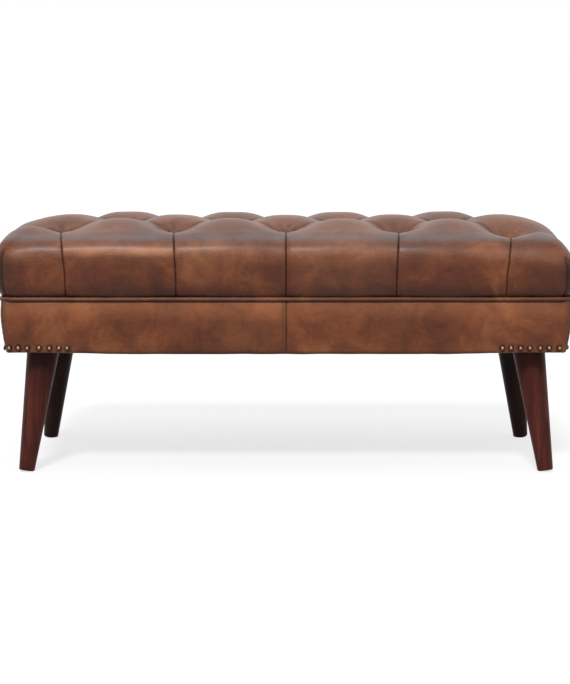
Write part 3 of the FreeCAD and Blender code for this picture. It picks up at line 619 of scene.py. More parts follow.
def seat_shape(inset, cells, fine=False):
    """Points, outward directions, faces and unrolled coordinates of the seat's skin, its
    lowest ring, and the faces that close that ring. inset moves the skin inwards, for
    the layers under the leather."""
    half_x, half_y = SEAT_HALF_X - inset, SEAT_HALF_Y - inset
    top = SEAT_PLANE - inset
    radius = SEAT_RADIUS
    fine_places = [*PLEAT_COLUMNS, LEFT_SEAM, RIGHT_SEAM] if fine else ()
    xs = grid_lines(half_x, TUFT_STEP_X, cells, fine_places)
    ys = grid_lines(half_y, TUFT_STEP_Y, cells)
    bottom = COVER_BOTTOM if fine else deck_high.z
    levels = int((top - bottom) / (1.1 * TUFT_STEP_X / cells))
    zs = np.linspace(top, bottom, levels + 1)[1:]
    columns, rows = len(xs), len(ys)
    grid_x, grid_y = np.meshgrid(xs, ys, indexing="ij")
    top_box = np.column_stack([grid_x.ravel(), grid_y.ravel(), np.full(grid_x.size, top)])
    rim = [column * rows for column in range(columns)]
    rim += [(columns - 1) * rows + row for row in range(1, rows)]
    rim += [column * rows + rows - 1 for column in range(columns - 2, -1, -1)]
    rim += list(range(rows - 2, 0, -1))
    box = [top_box]
    for z in zs:
        ring = top_box[rim].copy()
        ring[:, 2] = z
        box.append(ring)
    box = np.vstack(box)
    flat = box[:, :2].copy()
    drop = top - box[:, 2]
    on_long_side = np.abs(np.abs(box[:, 1]) - half_y) < 1e-6
    on_short_side = (np.abs(np.abs(box[:, 0]) - half_x) < 1e-6) & ~on_long_side
    flat[on_long_side, 1] += np.sign(box[on_long_side, 1]) * drop[on_long_side]
    flat[on_short_side, 0] += np.sign(box[on_short_side, 0]) * drop[on_short_side]
    faces = grid_faces(columns, rows)
    upper = rim
    for level in range(levels):
        lower = [len(top_box) + level * len(rim) + place for place in range(len(rim))]
        faces += bridge(upper, lower)
        upper = lower
    inner = np.column_stack([
        np.clip(box[:, 0], -(half_x - radius), half_x - radius),
        np.clip(box[:, 1], -(half_y - radius), half_y - radius),
        np.minimum(box[:, 2], top - radius),
    ])
    outward = box - inner
    outward /= np.linalg.norm(outward, axis=1)[:, None]
    points = inner + radius * outward
    return points, outward, faces, flat, upper, closing_faces(columns, rows)


def closing_faces(columns, rows):
    """Faces across a ring, facing down, as places in the ring: strips from the front to
    the back, and one face at each end."""
    last_back = columns + rows - 2
    strips = []
    for column in range(columns - 1):
        behind = last_back + columns - 1 - column
        strips.append((column, behind, behind - 1, column + 1))
    right_end = tuple(range(last_back, columns - 2, -1))
    left_end = (0, *range(2 * (columns + rows) - 5, last_back + columns - 2, -1))
    return [*strips, right_end, left_end]


def seat_relief(points, outward, flat):
    """Pillows, tufts and folds as moves along the skin's own direction, then the crown."""
    from_tuft = tuft_distance(flat)
    near_tuft = bell(from_tuft, 0.034)
    folds = fold_depth(flat, 0.0065)
    height = PILLOW_RISE * (1 - 2 * tuft_wave(flat))
    on_top = 1 - smoothstep(np.abs(flat[:, 1]), TUFT_STEP_Y, SEAT_HALF_Y)
    height -= (0.0012 + 0.0018 * on_top + 0.0040 * near_tuft) * folds
    height -= 0.0085 * np.exp(-(from_tuft / 0.0150) ** 4)
    for (column, row), depth in DEEP_TUFTS.items():
        away = np.hypot(flat[:, 0] - column * TUFT_STEP_X, flat[:, 1] - row * TUFT_STEP_Y)
        height -= depth * bell(away, 0.040)
    height += 0.0018 * roughness_at(points, 8.0, 2) * (1 - near_tuft)
    moved = points + outward * height[:, None]
    x_share = np.clip((np.abs(points[:, 0]) - CROWN_START_X) / (SEAT_HALF_X - CROWN_START_X), 0.0, 1.0)
    y_share = np.clip((np.abs(points[:, 1]) - CROWN_START_Y) / (SEAT_HALF_Y - CROWN_START_Y), 0.0, 1.0)
    left_fall = LEFT_CROWN * x_share ** 2.6
    right_fall = RIGHT_CROWN * x_share ** 2.2 + RIGHT_DROP * x_share ** 6
    crown = np.where(points[:, 0] < 0, left_fall, right_fall) + LONG_CROWN * y_share ** 2.0
    crown += WORN_CORNER * smoothstep(points[:, 0], 0.28, 0.46) * smoothstep(-points[:, 1], -0.03, 0.11)
    moved[:, 2] -= crown * smoothstep(points[:, 2], 0.37, 0.45)
    # side faces: puffed between the pleats and drawn in under the piping
    level = np.clip((moved[:, 2] - COVER_BOTTOM) / (SEAT_PLANE - COVER_BOTTOM), 0.0, 1.0)
    sideways = outward.copy()
    sideways[:, 2] = 0.0
    puff = np.sin(np.pi * level ** 0.8)
    tuck = JOINT_TUCK * np.clip(1 - level / 0.20, 0.0, 1.0) ** 2
    moved[:, 0] += sideways[:, 0] * (END_PUFF * puff - tuck)
    moved[:, 1] += sideways[:, 1] * (LONG_PUFF * puff - tuck)
    # the long faces' pleats lean towards the middle as they go down
    run = smoothstep(np.abs(flat[:, 1]), TUFT_STEP_Y, SEAT_HALF_Y + 0.10)
    last = 4 * TUFT_STEP_X
    hold = 1 - smoothstep(np.abs(flat[:, 0]), last, SEAT_HALF_X)
    moved[:, 0] -= PLEAT_LEAN * moved[:, 0] * run * hold
    return moved


def close_under(points, faces, flat, ring, closing):
    """Turns the cover in under the deck's edge and closes it inside the deck."""
    last = points[ring]
    corner = np.array([SEAT_HALF_X - SEAT_RADIUS, SEAT_HALF_Y - SEAT_RADIUS])
    inward = last[:, :2] - np.clip(last[:, :2], -corner, corner)
    inward /= -np.linalg.norm(inward, axis=1)[:, None]
    upper = ring
    for height, inset in LIP_ROWS:
        row = last.copy()
        row[:, :2] += inward * inset
        row[:, 2] = COVER_BOTTOM + height
        lower = list(range(len(points), len(points) + len(row)))
        points = np.vstack([points, row])
        flat = np.vstack([flat, flat[ring]])
        faces = faces + bridge(upper, lower)
        upper = lower
    faces = faces + [tuple(upper[place] for place in face) for face in closing]
    return points, faces, flat


def weight_group(piece, name, weights):
    """A vertex group with the weights rounded to tenths."""
    group = piece.vertex_groups.new(name=name)
    for tenth in range(1, 11):
        members = np.nonzero(np.round(weights * 10) == tenth)[0]
        if len(members):
            group.add(members.tolist(), tenth / 10, "REPLACE")
    return group.name


CLOTH = {
    "quality": 5,
    "mass": 0.25,
    "tension_stiffness": 14.0,
    "compression_stiffness": 14.0,
    "shear_stiffness": 5.0,
    "bending_stiffness": 2.2,
    "tension_damping": 8.0,
    "compression_damping": 8.0,
    "shear_damping": 8.0,
    "air_damping": 2.0,
    "use_pressure": True,
    "uniform_pressure_force": 2.5,
    "shrink_min": 0.001,
    "shrink_max": -0.055,
}
CLOTH_FRAMES = 18
CLOTH_REACH = 0.006          # no point moves farther than this


def inflate(piece, held, loose):
    """Swells the skin against its tufts and folds with a short cloth run."""
    start = read_points(piece.data)
    modifier = piece.modifiers.new("swell", "CLOTH")
    settings = modifier.settings
    settings.effector_weights.gravity = 0.0
    settings.vertex_group_mass = weight_group(piece, "held", held)
    settings.vertex_group_shrink = weight_group(piece, "loose", loose)
    for name, value in CLOTH.items():
        setattr(settings, name, value)
    modifier.collision_settings.use_collision = False
    modifier.point_cache.frame_start = 1
    modifier.point_cache.frame_end = CLOTH_FRAMES
    scene = bpy.context.scene
    for step in range(1, CLOTH_FRAMES + 1):
        scene.frame_set(step)
    graph = bpy.context.evaluated_depsgraph_get()
    swollen = read_points(piece.evaluated_get(graph).data)
    piece.modifiers.clear()
    piece.vertex_groups.clear()
    scene.frame_set(1)
    move = swollen - start
    length = np.linalg.norm(move, axis=1)
    limit = CLOTH_REACH * np.tanh(length / CLOTH_REACH) / np.maximum(length, 1e-9)
    write_points(piece.data, start + move * limit[:, None])


def pleat_profile(across):
    """Height of a folded-over pleat at this distance across it: a slit and one lip."""
    slit = -0.0024 * bell(across, 0.0010)
    lip = 0.0011 * smoothstep(across, 0.0, 0.0016) * np.exp(-np.maximum(across, 0.0) / 0.006)
    return slit + lip


DECK_CORNER = 0.0184         # rounding of the deck's corners
DECK_COVER = 0.0010          # the skin stays this far outside the deck's edge


def outside_deck(points):
    """Moves the skin out where a slit or a corner would cut into the deck's edge."""
    corner = np.array([deck_high.x - DECK_CORNER, deck_high.y - DECK_CORNER])
    from_core = points[:, :2] - np.clip(points[:, :2], -corner, corner)
    reach = np.linalg.norm(from_core, axis=1)
    short = DECK_CORNER + DECK_COVER - reach
    beside = points[:, 2] > deck_low.z - 0.0005
    push = np.where(beside & (short > 0) & (short < 0.006), short, 0.0)
    push *= 1 - smoothstep(points[:, 2], deck_high.z + 0.001, deck_high.z + 0.008)
    moved = points.copy()
    moved[:, :2] += from_core * (push / np.maximum(reach, 1e-9))[:, None]
    return moved


def add_pleats(flat, rest_height, outside, height, shade_and_grime):
    """Pleats down the long faces and thin slits along the diamonds."""
    above_joint = smoothstep(rest_height, COVER_BOTTOM, COVER_BOTTOM + 0.004)
    for index, x in enumerate(PLEAT_COLUMNS):
        fold_side = -1 if index % 2 else 1
        across = fold_side * (flat[:, 0] - x)
        height += pleat_profile(across) * outside * above_joint
        # painted shade in each pleat's slit, darker in its upper part
        upper = 0.45 + 0.45 * smoothstep(rest_height, 0.355, 0.42)
        np.maximum(shade_and_grime, upper * np.exp(-np.abs(across) / 0.0015) * outside, out=shade_and_grime)
    # the middle pleat is folded twice
    second = flat[:, 0] - 0.0065
    height -= 0.0010 * bell(second, 0.0016) * outside * above_joint
    diagonal = fold_depth(flat, 0.0022) * (1 - outside)
    height -= 0.0016 * diagonal
    # painted shade along the diagonal creases
    np.maximum(shade_and_grime, 0.65 * fold_depth(flat, 0.0040) * (1 - outside), out=shade_and_grime)


def add_corner_seams(flat, rest_height, height, shade_and_grime):
    outside_seam = np.maximum(flat[:, 0] - RIGHT_SEAM, LEFT_SEAM - flat[:, 0])
    seam = np.abs(outside_seam)
    on_face = smoothstep(np.abs(flat[:, 1]), SEAT_HALF_Y, SEAT_HALF_Y + 0.01)
    seam_run = on_face * (1 - smoothstep(rest_height, SEAM_TOP - 0.008, SEAM_TOP + 0.008))
    height -= 0.0030 * bell(seam, 0.0022) * seam_run
    # painted shade in the corner seam's groove, and painted shadow on the strip beyond it
    np.maximum(shade_and_grime, np.exp(-seam / 0.0040) * seam_run, out=shade_and_grime)
    beyond_seam = smoothstep(outside_seam, -0.002, 0.003)
    np.maximum(shade_and_grime, 0.72 * beyond_seam * seam_run, out=shade_and_grime)


def add_gathers(flat, height, shade_and_grime):
    """Small folds that run out from each tuft."""
    for number, (x, y) in enumerate(TUFTS):
        angle = np.arctan2(flat[:, 1] - y, flat[:, 0] - x)
        away = np.hypot(flat[:, 0] - x, flat[:, 1] - y)
        ring = bell(away - 0.026, 0.015)
        turn = 1.7 * number
        gathers = np.cos(9 * angle + turn + 1.5 * np.sin(2 * angle + turn))
        height += 0.0015 * ring * gathers
        # painted shade in the gathers' hollows and round each tuft's pit
        np.maximum(shade_and_grime, 0.38 * ring * np.clip(-gathers, 0.0, 1.0), out=shade_and_grime)
    np.maximum(shade_and_grime, 0.8 * bell(tuft_distance(flat), 0.014), out=shade_and_grime)


def between(values, low_start, low_end, high_start, high_end):
    """1 from low_end to high_start, fading to 0 at low_start and high_end."""
    return smoothstep(values, low_start, low_end) * (1 - smoothstep(values, high_start, high_end))


def seat_wear_and_painted_light(points, flat, shade_and_grime):
    """(painted sheen, wear with painted highlight, painted shade with dirt): a grey sheen
    is painted on the top and along its edge, and a highlight along the shoulder. The panels
    differ a little in how far they were rubbed."""
    wave = tuft_wave(flat)
    level = points[:, 2]
    on_long_face = smoothstep(np.abs(flat[:, 1]), TUFT_STEP_Y + 0.005, TUFT_STEP_Y + 0.035)
    # painted sheen: grey on the top, strongest along the long faces' upper edge
    edge = bell(level - 0.458, 0.009) * on_long_face
    bloom = 0.34 * smoothstep(level, 0.446, 0.464) * (1 - 0.5 * wave) + 0.52 * edge
    second_pillow = between(flat[:, 0], -0.43, -0.40, -0.235, -0.21)
    third_panel = between(flat[:, 0], -0.21, -0.16, -0.05, 0.0)
    fourth_panel = between(flat[:, 0], 0.0, 0.04, 0.17, 0.22)
    # painted highlight along the shoulder and more weakly below it, strongest on the second pillow
    shoulder = bell(level - SHOULDER, 0.0075) * on_long_face
    below = bell(level - 0.422, 0.013) * on_long_face
    patchy = 0.75 + 0.5 * roughness_at(points, 24.0, 9)
    rub = (shoulder * (0.20 + 0.78 * second_pillow) + 0.20 * below) * patchy
    rub += 0.10 * fourth_panel * on_long_face
    crests = 0.12 * np.clip(1 - 2.2 * wave, 0.0, 1.0) * smoothstep(level, 0.45, 0.475)
    shade_and_grime = np.maximum(shade_and_grime, 0.15 * third_panel * on_long_face)
    return bloom, np.maximum(rub, crests), shade_and_grime


def dress_seat(piece, unrolled):
    """Fine detail on the swollen skin: pleats, gathers at the tufts, corner seams, and
    the painted shade, sheen and highlights, with some dirt and wear, on the leather there."""
    mesh = piece.data
    points, normals = read_points(mesh), read_vectors(mesh.vertex_normals, "vector")
    flat, rest_height = unrolled[:, :2], unrolled[:, 2]
    height = np.zeros(len(points))
    shade_and_grime = np.zeros(len(points))
    outside = smoothstep(np.abs(flat[:, 1]), TUFT_STEP_Y, TUFT_STEP_Y + 0.02)
    add_pleats(flat, rest_height, outside, height, shade_and_grime)
    add_corner_seams(flat, rest_height, height, shade_and_grime)
    add_gathers(flat, height, shade_and_grime)
    # painted shade: darker towards the joint under the piping
    joint = bell(np.maximum(rest_height - COVER_BOTTOM, 0.0), 0.024)
    shade_and_grime = np.maximum(shade_and_grime, 0.5 * joint)
    write_points(mesh, outside_deck(points + normals * height[:, None]))
    bloom, rub, shade_and_grime = seat_wear_and_painted_light(points, flat, shade_and_grime)
    for name, values in (("fold", shade_and_grime), ("rub", rub), ("bloom", bloom)):
        write_attribute(mesh, name, np.clip(values, 0.0, 1.0))


def make_seat():
    points, outward, faces, flat, ring, closing = seat_shape(0.0, TUFT_CELLS, fine=True)
    points = seat_relief(points, outward, flat)
    points, faces, flat = close_under(points, faces, flat, ring, closing)
    piece = new_piece("seat_cushion", points, faces, "leather_seat")
    from_tuft = tuft_distance(flat)
    outside = smoothstep(np.abs(flat[:, 1]), TUFT_STEP_Y, TUFT_STEP_Y + 0.03)
    folds = fold_depth(flat, 0.004)
    held = np.clip(1.6 * folds - 0.55, 0.0, 0.5 + 0.5 * outside)
    held = np.maximum(held, 1 - smoothstep(from_tuft, 0.012, 0.020))
    joint = smoothstep(points[:, 2], COVER_BOTTOM + 0.006, COVER_BOTTOM + 0.016)
    held = np.maximum(held, 1 - joint)
    loose = bell(from_tuft, 0.045) * (1 - 0.6 * outside)
    inflate(piece, held, loose)
    unrolled = piece.data.attributes.new("unrolled", "FLOAT_VECTOR", "POINT")
    unrolled.data.foreach_set("vector", np.column_stack([flat, points[:, 2]]).ravel())
    subdivision = piece.modifiers.new("subdivision", "SUBSURF")
    subdivision.levels = 1
    subdivision.render_levels = 1
    bake_modifiers(piece)
    unrolled = piece.data.attributes["unrolled"]
    dress_seat(piece, read_vectors(unrolled.data, "vector"))
    piece.data.attributes.remove(piece.data.attributes["unrolled"])
    settle(piece, "seat_cover")
    return piece


# Filling under the cover

WADDING_INSET = 0.0075
WADDING_THICK = 0.009
FOAM_INSET = WADDING_INSET + WADDING_THICK + 0.001
FILLING_CELLS = 12


def make_filling(name, inset, slot_name, node, thick=0.0):
    """A layer that follows the cover from inside, standing on the deck."""
    points, outward, faces, flat, ring, closing = seat_shape(inset, FILLING_CELLS)
    points = seat_relief(points, outward, flat)
    points[:, 2] = np.maximum(points[:, 2], deck_high.z)
    if not thick:
        faces = faces + [tuple(ring[place] for place in face) for face in closing]
    piece = new_piece(name, points, faces, slot_name)
    if thick:
        thicken(piece, thick)
    settle(piece, node)


# Buttons

BUTTON_RISE = 0.0055
BUTTON_SEAT = 0.0012         # the button's rim above the skin under it
BUTTON_SKIRT = 0.002
BUTTON_SIDES = 28
TWINE_RADIUS = 0.001
TWINE_SIDES = 12


def lathe(profile, turns):
    """Points and faces of a turned form about Z, from (radius, height) pairs that start
    on the axis. The last pair may also lie on the axis."""
    points = [(0.0, 0.0, profile[0][1])]
    faces = []
    rings = [pair for pair in profile[1:] if pair[0] > 0]
    for radius, height in rings:
        for turn in range(turns):
            angle = 2 * math.pi * turn / turns
            points.append((radius * math.cos(angle), radius * math.sin(angle), height))
    for turn in range(turns):
        faces.append((0, 1 + turn, 1 + (turn + 1) % turns))
    for ring in range(len(rings) - 1):
        upper = [1 + ring * turns + turn for turn in range(turns)]
        lower = [1 + (ring + 1) * turns + turn for turn in range(turns)]
        faces += bridge(upper, lower)
    last = [1 + (len(rings) - 1) * turns + turn for turn in range(turns)]
    faces.append(tuple(reversed(last)))
    return np.array(points), faces


def dome_profile(radius, rise, skirt, steps=7):
    """A dome that ends in a short rounded skirt and a flat back."""
    profile = [(0.0, rise)]
    for step in range(1, steps + 1):
        angle = math.pi / 2 * step / steps
        profile.append((radius * math.sin(angle), rise * math.cos(angle)))
    profile.append((radius, -skirt * 0.6))
    profile.append((radius * 0.9, -skirt))
    return profile


def join_copies(name, forms, slot_name):
    """One piece from several (points, faces) forms."""
    points, faces = [], []
    for form_points, form_faces in forms:
        first = len(points)
        points += [tuple(p) for p in form_points]
        faces += [tuple(first + number for number in face) for face in form_faces]
    return new_piece(name, points, faces, slot_name)


def tuft_floors(cushion):
    """(x, y, height) of the skin at the bottom of each tuft."""
    graph = bpy.context.evaluated_depsgraph_get()
    graph.update()
    skin = cushion.evaluated_get(graph)
    floors = []
    for x, y in TUFTS:
        hit, place, _, _ = skin.ray_cast(Vector((x, y, ABOVE_SEAT)), DOWN)
        floors.append((x, y, place.z if hit else buttons_low.z))
    return floors


def make_twines(floors):
    """Each button's twine, from inside the button down through the deck and its washer.
    Its top follows the button, since some tufts are drawn down harder than others."""
    forms = []
    for x, y, floor in floors:
        top = floor + BUTTON_SEAT
        profile = [(0.0, top), (TWINE_RADIUS, top), (TWINE_RADIUS, twines_low.z)]
        form, faces = lathe(profile, TWINE_SIDES)
        forms.append((form + np.array([x, y, 0.0]), faces))
    settle(join_copies("twine_lines", forms, "twine"), "tuft_twines")


def make_buttons(floors):
    """Leather-covered buttons, each sunk to the bottom of its tuft."""
    forms = []
    for number, (x, y, floor) in enumerate(floors):
        form, faces = lathe(dome_profile(BUTTON_RADIUS * 0.95, BUTTON_RISE, BUTTON_SKIRT), BUTTON_SIDES)
        radial = np.hypot(form[:, 0], form[:, 1])
        angle = np.arctan2(form[:, 1], form[:, 0])
        edge = smoothstep(radial, 0.4 * BUTTON_RADIUS, BUTTON_RADIUS)
        form[:, 2] += 0.00025 * edge * np.cos(11 * angle + number)
        tilt = Matrix.Rotation(0.12 * math.sin(2.3 * number), 3, "X")
        tilt = tilt @ Matrix.Rotation(0.12 * math.cos(1.7 * number), 3, "Y")
        form = form @ np.array(tilt).T + np.array([x, y, floor + BUTTON_SEAT])
        forms.append((form, faces))
    settle(join_copies("button_covers", forms, "leather_button"), "tuft_buttons")


# Band, piping and nails follow one rounded rectangle

def ring_places(half_x, half_y, radius, step, arc_steps=10):
    """Points and outward directions round a rounded rectangle, anticlockwise seen from
    above, starting at the middle of the front. Also the number of each point where a
    straight side's middle or a corner's middle lies."""
    places, directions, marks = [], [], {}
    straight_x, straight_y = half_x - radius, half_y - radius

    def add_line(start, end, direction):
        length = math.dist(start, end)
        count = max(2, round(length / step))
        for index in range(count):
            share = index / count
            x = start[0] + (end[0] - start[0]) * share
            y = start[1] + (end[1] - start[1]) * share
            places.append((x, y))
            directions.append(direction)

    def add_arc(centre, first_angle, mark):
        for index in range(arc_steps):
            angle = first_angle + math.pi / 2 * index / arc_steps
            if index == arc_steps // 2:
                marks[mark] = len(places)
            direction = (math.cos(angle), math.sin(angle))
            places.append((centre[0] + radius * direction[0], centre[1] + radius * direction[1]))
            directions.append(direction)

    marks["front"] = 0
    add_line((0.0, -half_y), (straight_x, -half_y), (0, -1))
    add_arc((straight_x, -straight_y), -math.pi / 2, "front_right")
    add_line((half_x, -straight_y), (half_x, straight_y), (1, 0))
    add_arc((straight_x, straight_y), 0.0, "back_right")
    add_line((straight_x, half_y), (0.0, half_y), (0, 1))
    marks["back"] = len(places)
    add_line((0.0, half_y), (-straight_x, half_y), (0, 1))
    add_arc((-straight_x, straight_y), math.pi / 2, "back_left")
    add_line((-half_x, straight_y), (-half_x, -straight_y), (-1, 0))
    add_arc((-straight_x, -straight_y), math.pi, "front_left")
    add_line((-straight_x, -half_y), (0.0, -half_y), (0, -1))
    return np.array(places), np.array(directions), marks


PIPING_RADIUS = 0.0042
PIPING_SIDES = 14
PIPING_INSET = 0.004         # the tube's middle inside the CAD piping's outer face
PIPING_CORNER = 0.024
PIPING_STEP = 0.004
# low enough, and swaying little enough, to keep the cord inside all the way round
PIPING_LEVEL = piping_high.z - 0.0032
PIPING_SWAY = 0.0003


def make_piping():
    """The bead between seat and band: a leather tube over its cord."""
    half_x = piping_high.x - PIPING_INSET
    half_y = piping_high.y - PIPING_INSET
    places, directions, _ = ring_places(half_x, half_y, PIPING_CORNER, PIPING_STEP, arc_steps=14)
    rings, faces = [], []
    ripple = roughness_at(np.column_stack([places, np.zeros(len(places))]), 30.0, 5)
    sway = roughness_at(np.column_stack([places, np.ones(len(places))]), 5.0, 6)
    for index, (place, direction) in enumerate(zip(places, directions)):
        radius = PIPING_RADIUS * (1 + 0.05 * ripple[index])
        for side in range(PIPING_SIDES):
            angle = 2 * math.pi * side / PIPING_SIDES
            out = radius * math.cos(angle)
            rings.append((
                place[0] + direction[0] * out,
                place[1] + direction[1] * out,
                PIPING_LEVEL + PIPING_SWAY * sway[index] + radius * math.sin(angle),
            ))
    count = len(places)
    for index in range(count):
        near = index * PIPING_SIDES
        far = (index + 1) % count * PIPING_SIDES
        faces += bridge(range(near, near + PIPING_SIDES), range(far, far + PIPING_SIDES))
    piece = new_piece("piping_bead", rings, faces, "leather_piping")
    heights = read_points(piece.data)[:, 2] - PIPING_LEVEL
    # painted highlight on the tube's top and painted shade on its lower half
    write_attribute(piece.data, "rub", 0.5 * smoothstep(heights, 0.001, PIPING_RADIUS))
    write_attribute(piece.data, "fold", 0.8 * smoothstep(-heights, 0.0, 0.8 * PIPING_RADIUS))
    settle(piece, "piping_cover")


BAND_FOOT_X = 0.537
BAND_FOOT_Y = 0.207
BAND_FLARE = band_high.x - BAND_FOOT_X
BAND_RADIUS = 0.0065
BAND_STEP = 0.0042
BAND_FACE_STEPS = 24
BAND_FOOT = band_low.z
BAND_TOP = band_high.z + 0.0018
BAND_BULGE = 0.0050
BAND_SAG = 0.0034
BAND_THICK = 0.0013
HEM_WIDE = 0.018
HEM_ROUND = 0.0030
NAIL_HEIGHT = 0.2465
# each nail's run from the corner; they were set by eye, so the gaps differ
NAIL_RUNS = {
    "left": (0.0075, 0.0246, 0.0424, 0.0641, 0.0850, 0.1021, 0.1190),
    "right": (0.0150, 0.0336, 0.0511, 0.0710, 0.0887, 0.1071, 0.1230),
}
NAIL_RADIUS = 0.0052
NAIL_RISE = 0.0036
NAIL_SKIRT = 0.0012
NAIL_SIDES = 24


def band_out(share):
    """How far the band's face stands outside its foot, from 0 at the foot to 1 at the top."""
    puff = math.sin(math.pi * share ** 1.25) ** 0.8 if 0 < share < 1 else 0.0
    return BAND_FLARE * share + BAND_BULGE * puff


def band_profile():
    """(outward, height, share) rows of the band's section, from the hem's inner edge
    under the rail, round the bottom edge, up the puffed face and in under the piping.
    share is 0 at the bottom edge and 1 at the top."""
    rows = [(-HEM_WIDE, BAND_FOOT - 0.0002, 0.0), (-HEM_WIDE / 2, BAND_FOOT - 0.0004, 0.0)]
    for step in range(5):
        angle = math.pi / 2 * step / 4
        rows.append((
            -HEM_ROUND + HEM_ROUND * math.sin(angle),
            BAND_FOOT + HEM_ROUND - HEM_ROUND * math.cos(angle),
            0.0,
        ))
    face_height = BAND_TOP - BAND_FOOT - HEM_ROUND
    for step in range(1, BAND_FACE_STEPS + 1):
        share = step / BAND_FACE_STEPS
        rows.append((band_out(share), BAND_FOOT + HEM_ROUND + face_height * share, share))
    rows.append((BAND_FLARE - 0.0025, BAND_TOP + 0.0006, 1.0))
    rows.append((BAND_FLARE - 0.0100, BAND_TOP + 0.0006, 1.0))
    return rows


def nail_spots():
    """(node, place, direction) of every nail, on the band's face."""
    out = BAND_FLARE * (NAIL_HEIGHT - BAND_FOOT) / (BAND_TOP - BAND_FOOT) + 0.0016
    spots = []
    for corner in CORNERS:
        side_x = 1 if corner.endswith("right") else -1
        side_y = 1 if corner.startswith("back") else -1
        for run in NAIL_RUNS["right" if side_x > 0 else "left"]:
            along = (side_x * (BAND_FOOT_X - run), side_y * (BAND_FOOT_Y + out), NAIL_HEIGHT)
            spots.append((corner, Vector(along), Vector((0, side_y, 0))))
            along = (side_x * (BAND_FOOT_X + out), side_y * (BAND_FOOT_Y - run), NAIL_HEIGHT)
            spots.append((corner, Vector(along), Vector((side_x, 0, 0))))
    return spots


STITCH_RUN = 0.0066
SEAM_LINES = np.array([0.0006, 0.0013, 0.0024, 0.0050, 0.0058, 0.0066, 0.0074, 0.0082])


def with_seam_lines(places, directions):
    """The panel's line with more points beside its two seams, and each point's run."""
    steps = np.linalg.norm(np.diff(places, axis=0), axis=1)
    runs = np.concatenate([[0.0], np.cumsum(steps)])
    wanted = np.unique(np.round(np.concatenate([runs, SEAM_LINES, runs[-1] - SEAM_LINES]), 6))
    places = np.column_stack([np.interp(wanted, runs, places[:, axis]) for axis in (0, 1)])
    directions = np.column_stack([np.interp(wanted, runs, directions[:, axis]) for axis in (0, 1)])
    directions /= np.linalg.norm(directions, axis=1)[:, None]
    return places, directions, wanted


def make_band_panel(name, node, places, directions, topstitched):
    """One leather panel between two seams, puffed over its padding, hem turned under."""
    profile = band_profile()
    places, directions, runs = with_seam_lines(places, directions)
    from_seam = np.minimum(runs, runs[-1] - runs)
    seam = np.exp(-from_seam / 0.0022)
    pucker = np.exp(-from_seam / 0.020)
    stitch = np.zeros(len(runs))
    if topstitched:
        stitch = bell(runs[-1] - runs - STITCH_RUN, 0.0009)
    nail_points = np.array([spot[1] for spot in nail_spots()])
    sag = smoothstep(BAND_FOOT_X - np.abs(places[:, 0]), 0.08, 0.24)
    sag *= smoothstep(np.abs(places[:, 1]), BAND_FOOT_Y - 0.02, BAND_FOOT_Y - 0.001)
    points, shade_and_grime = [], []
    for index, (place, direction) in enumerate(zip(places, directions)):
        for out, z, share in profile:
            x = place[0] + direction[0] * out
            y = place[1] + direction[1] * out
            points.append((x, y, z))
            # painted shade in the seams, under the piping, on the turned-under hem and fading up from
            # the foot; the stitch holes are dark leather
            under_piping = 0.45 * math.exp(-(1 - share) / 0.012)
            turned_in = 0.85 if share == 0.0 else 0.20 * math.exp(-share / 0.25)
            shade_and_grime.append(max(0.9 * seam[index], 0.5 * stitch[index], under_piping, turned_in))
    points = np.array(points)
    rows = len(profile)
    shares = np.tile([row[2] for row in profile], len(places))
    outward = np.repeat(np.column_stack([directions, np.zeros(len(directions))]), rows, axis=0)
    face = between(shares, 0.0, 0.08, 0.93, 1.0)
    move = 0.0011 * roughness_at(points, 9.0, 11) + 0.0004 * roughness_at(points, 34.0, 12)
    move = move * face
    move -= 0.0014 * np.repeat(seam, rows) + 0.0007 * np.repeat(stitch, rows) * face
    height_wave = np.cos(points[:, 2] * 2 * math.pi / 0.011)
    move += 0.0002 * np.repeat(pucker, rows) * height_wave * face
    away = np.min(np.linalg.norm(points[:, None, :] - nail_points[None, :, :], axis=2), axis=1)
    near_nails = bell(away, 0.022)
    move += (0.0012 * near_nails - 0.0026 * bell(away, 0.0062)) * (shares > 0)
    points += outward * move[:, None]
    low = 1 - smoothstep(points[:, 2], BAND_FOOT, BAND_FOOT + 0.03)
    points[:, 2] -= BAND_SAG * low * np.repeat(sag, rows)
    points[:, 2] -= 0.0006 * low * roughness_at(points, 26.0, 13)
    outs = np.tile([row[0] for row in profile], len(places))
    points[:, 2] -= 0.0015 * low * smoothstep(outs, -0.009, -0.001)
    scallop = low * bell(away, 0.016)
    points[:, 2] -= 0.0012 * scallop * (1 - bell(away, 0.009))
    piece = new_piece(name, points, grid_faces(len(places), rows), "leather_band")
    # painted shade round each nail, in its dent
    shades = np.maximum(np.array(shade_and_grime), 0.8 * np.exp(-(away / 0.0072) ** 4))
    rubbed = 0.20 * bell(points[:, 0] + 0.085, 0.07) * face
    dull = 0.06 * between(points[:, 0], 0.0, 0.05, 0.33, 0.40)
    shades = np.maximum(shades * (1 - 0.7 * scallop * (away > 0.0075)), dull)
    write_attribute(piece.data, "fold", shades)
    write_attribute(piece.data, "stitch", np.repeat(stitch, rows))
    # painted light: the band's upper part is paler, as the light falls on it
    high = smoothstep(shares, 0.55, 0.93)
    worn_hem = scallop * (away > 0.0075) * (shares < 0.12)
    write_attribute(piece.data, "rub", np.maximum(0.40 * high + rubbed, 0.60 * worn_hem))
    thicken(piece, BAND_THICK)
    settle(piece, node)


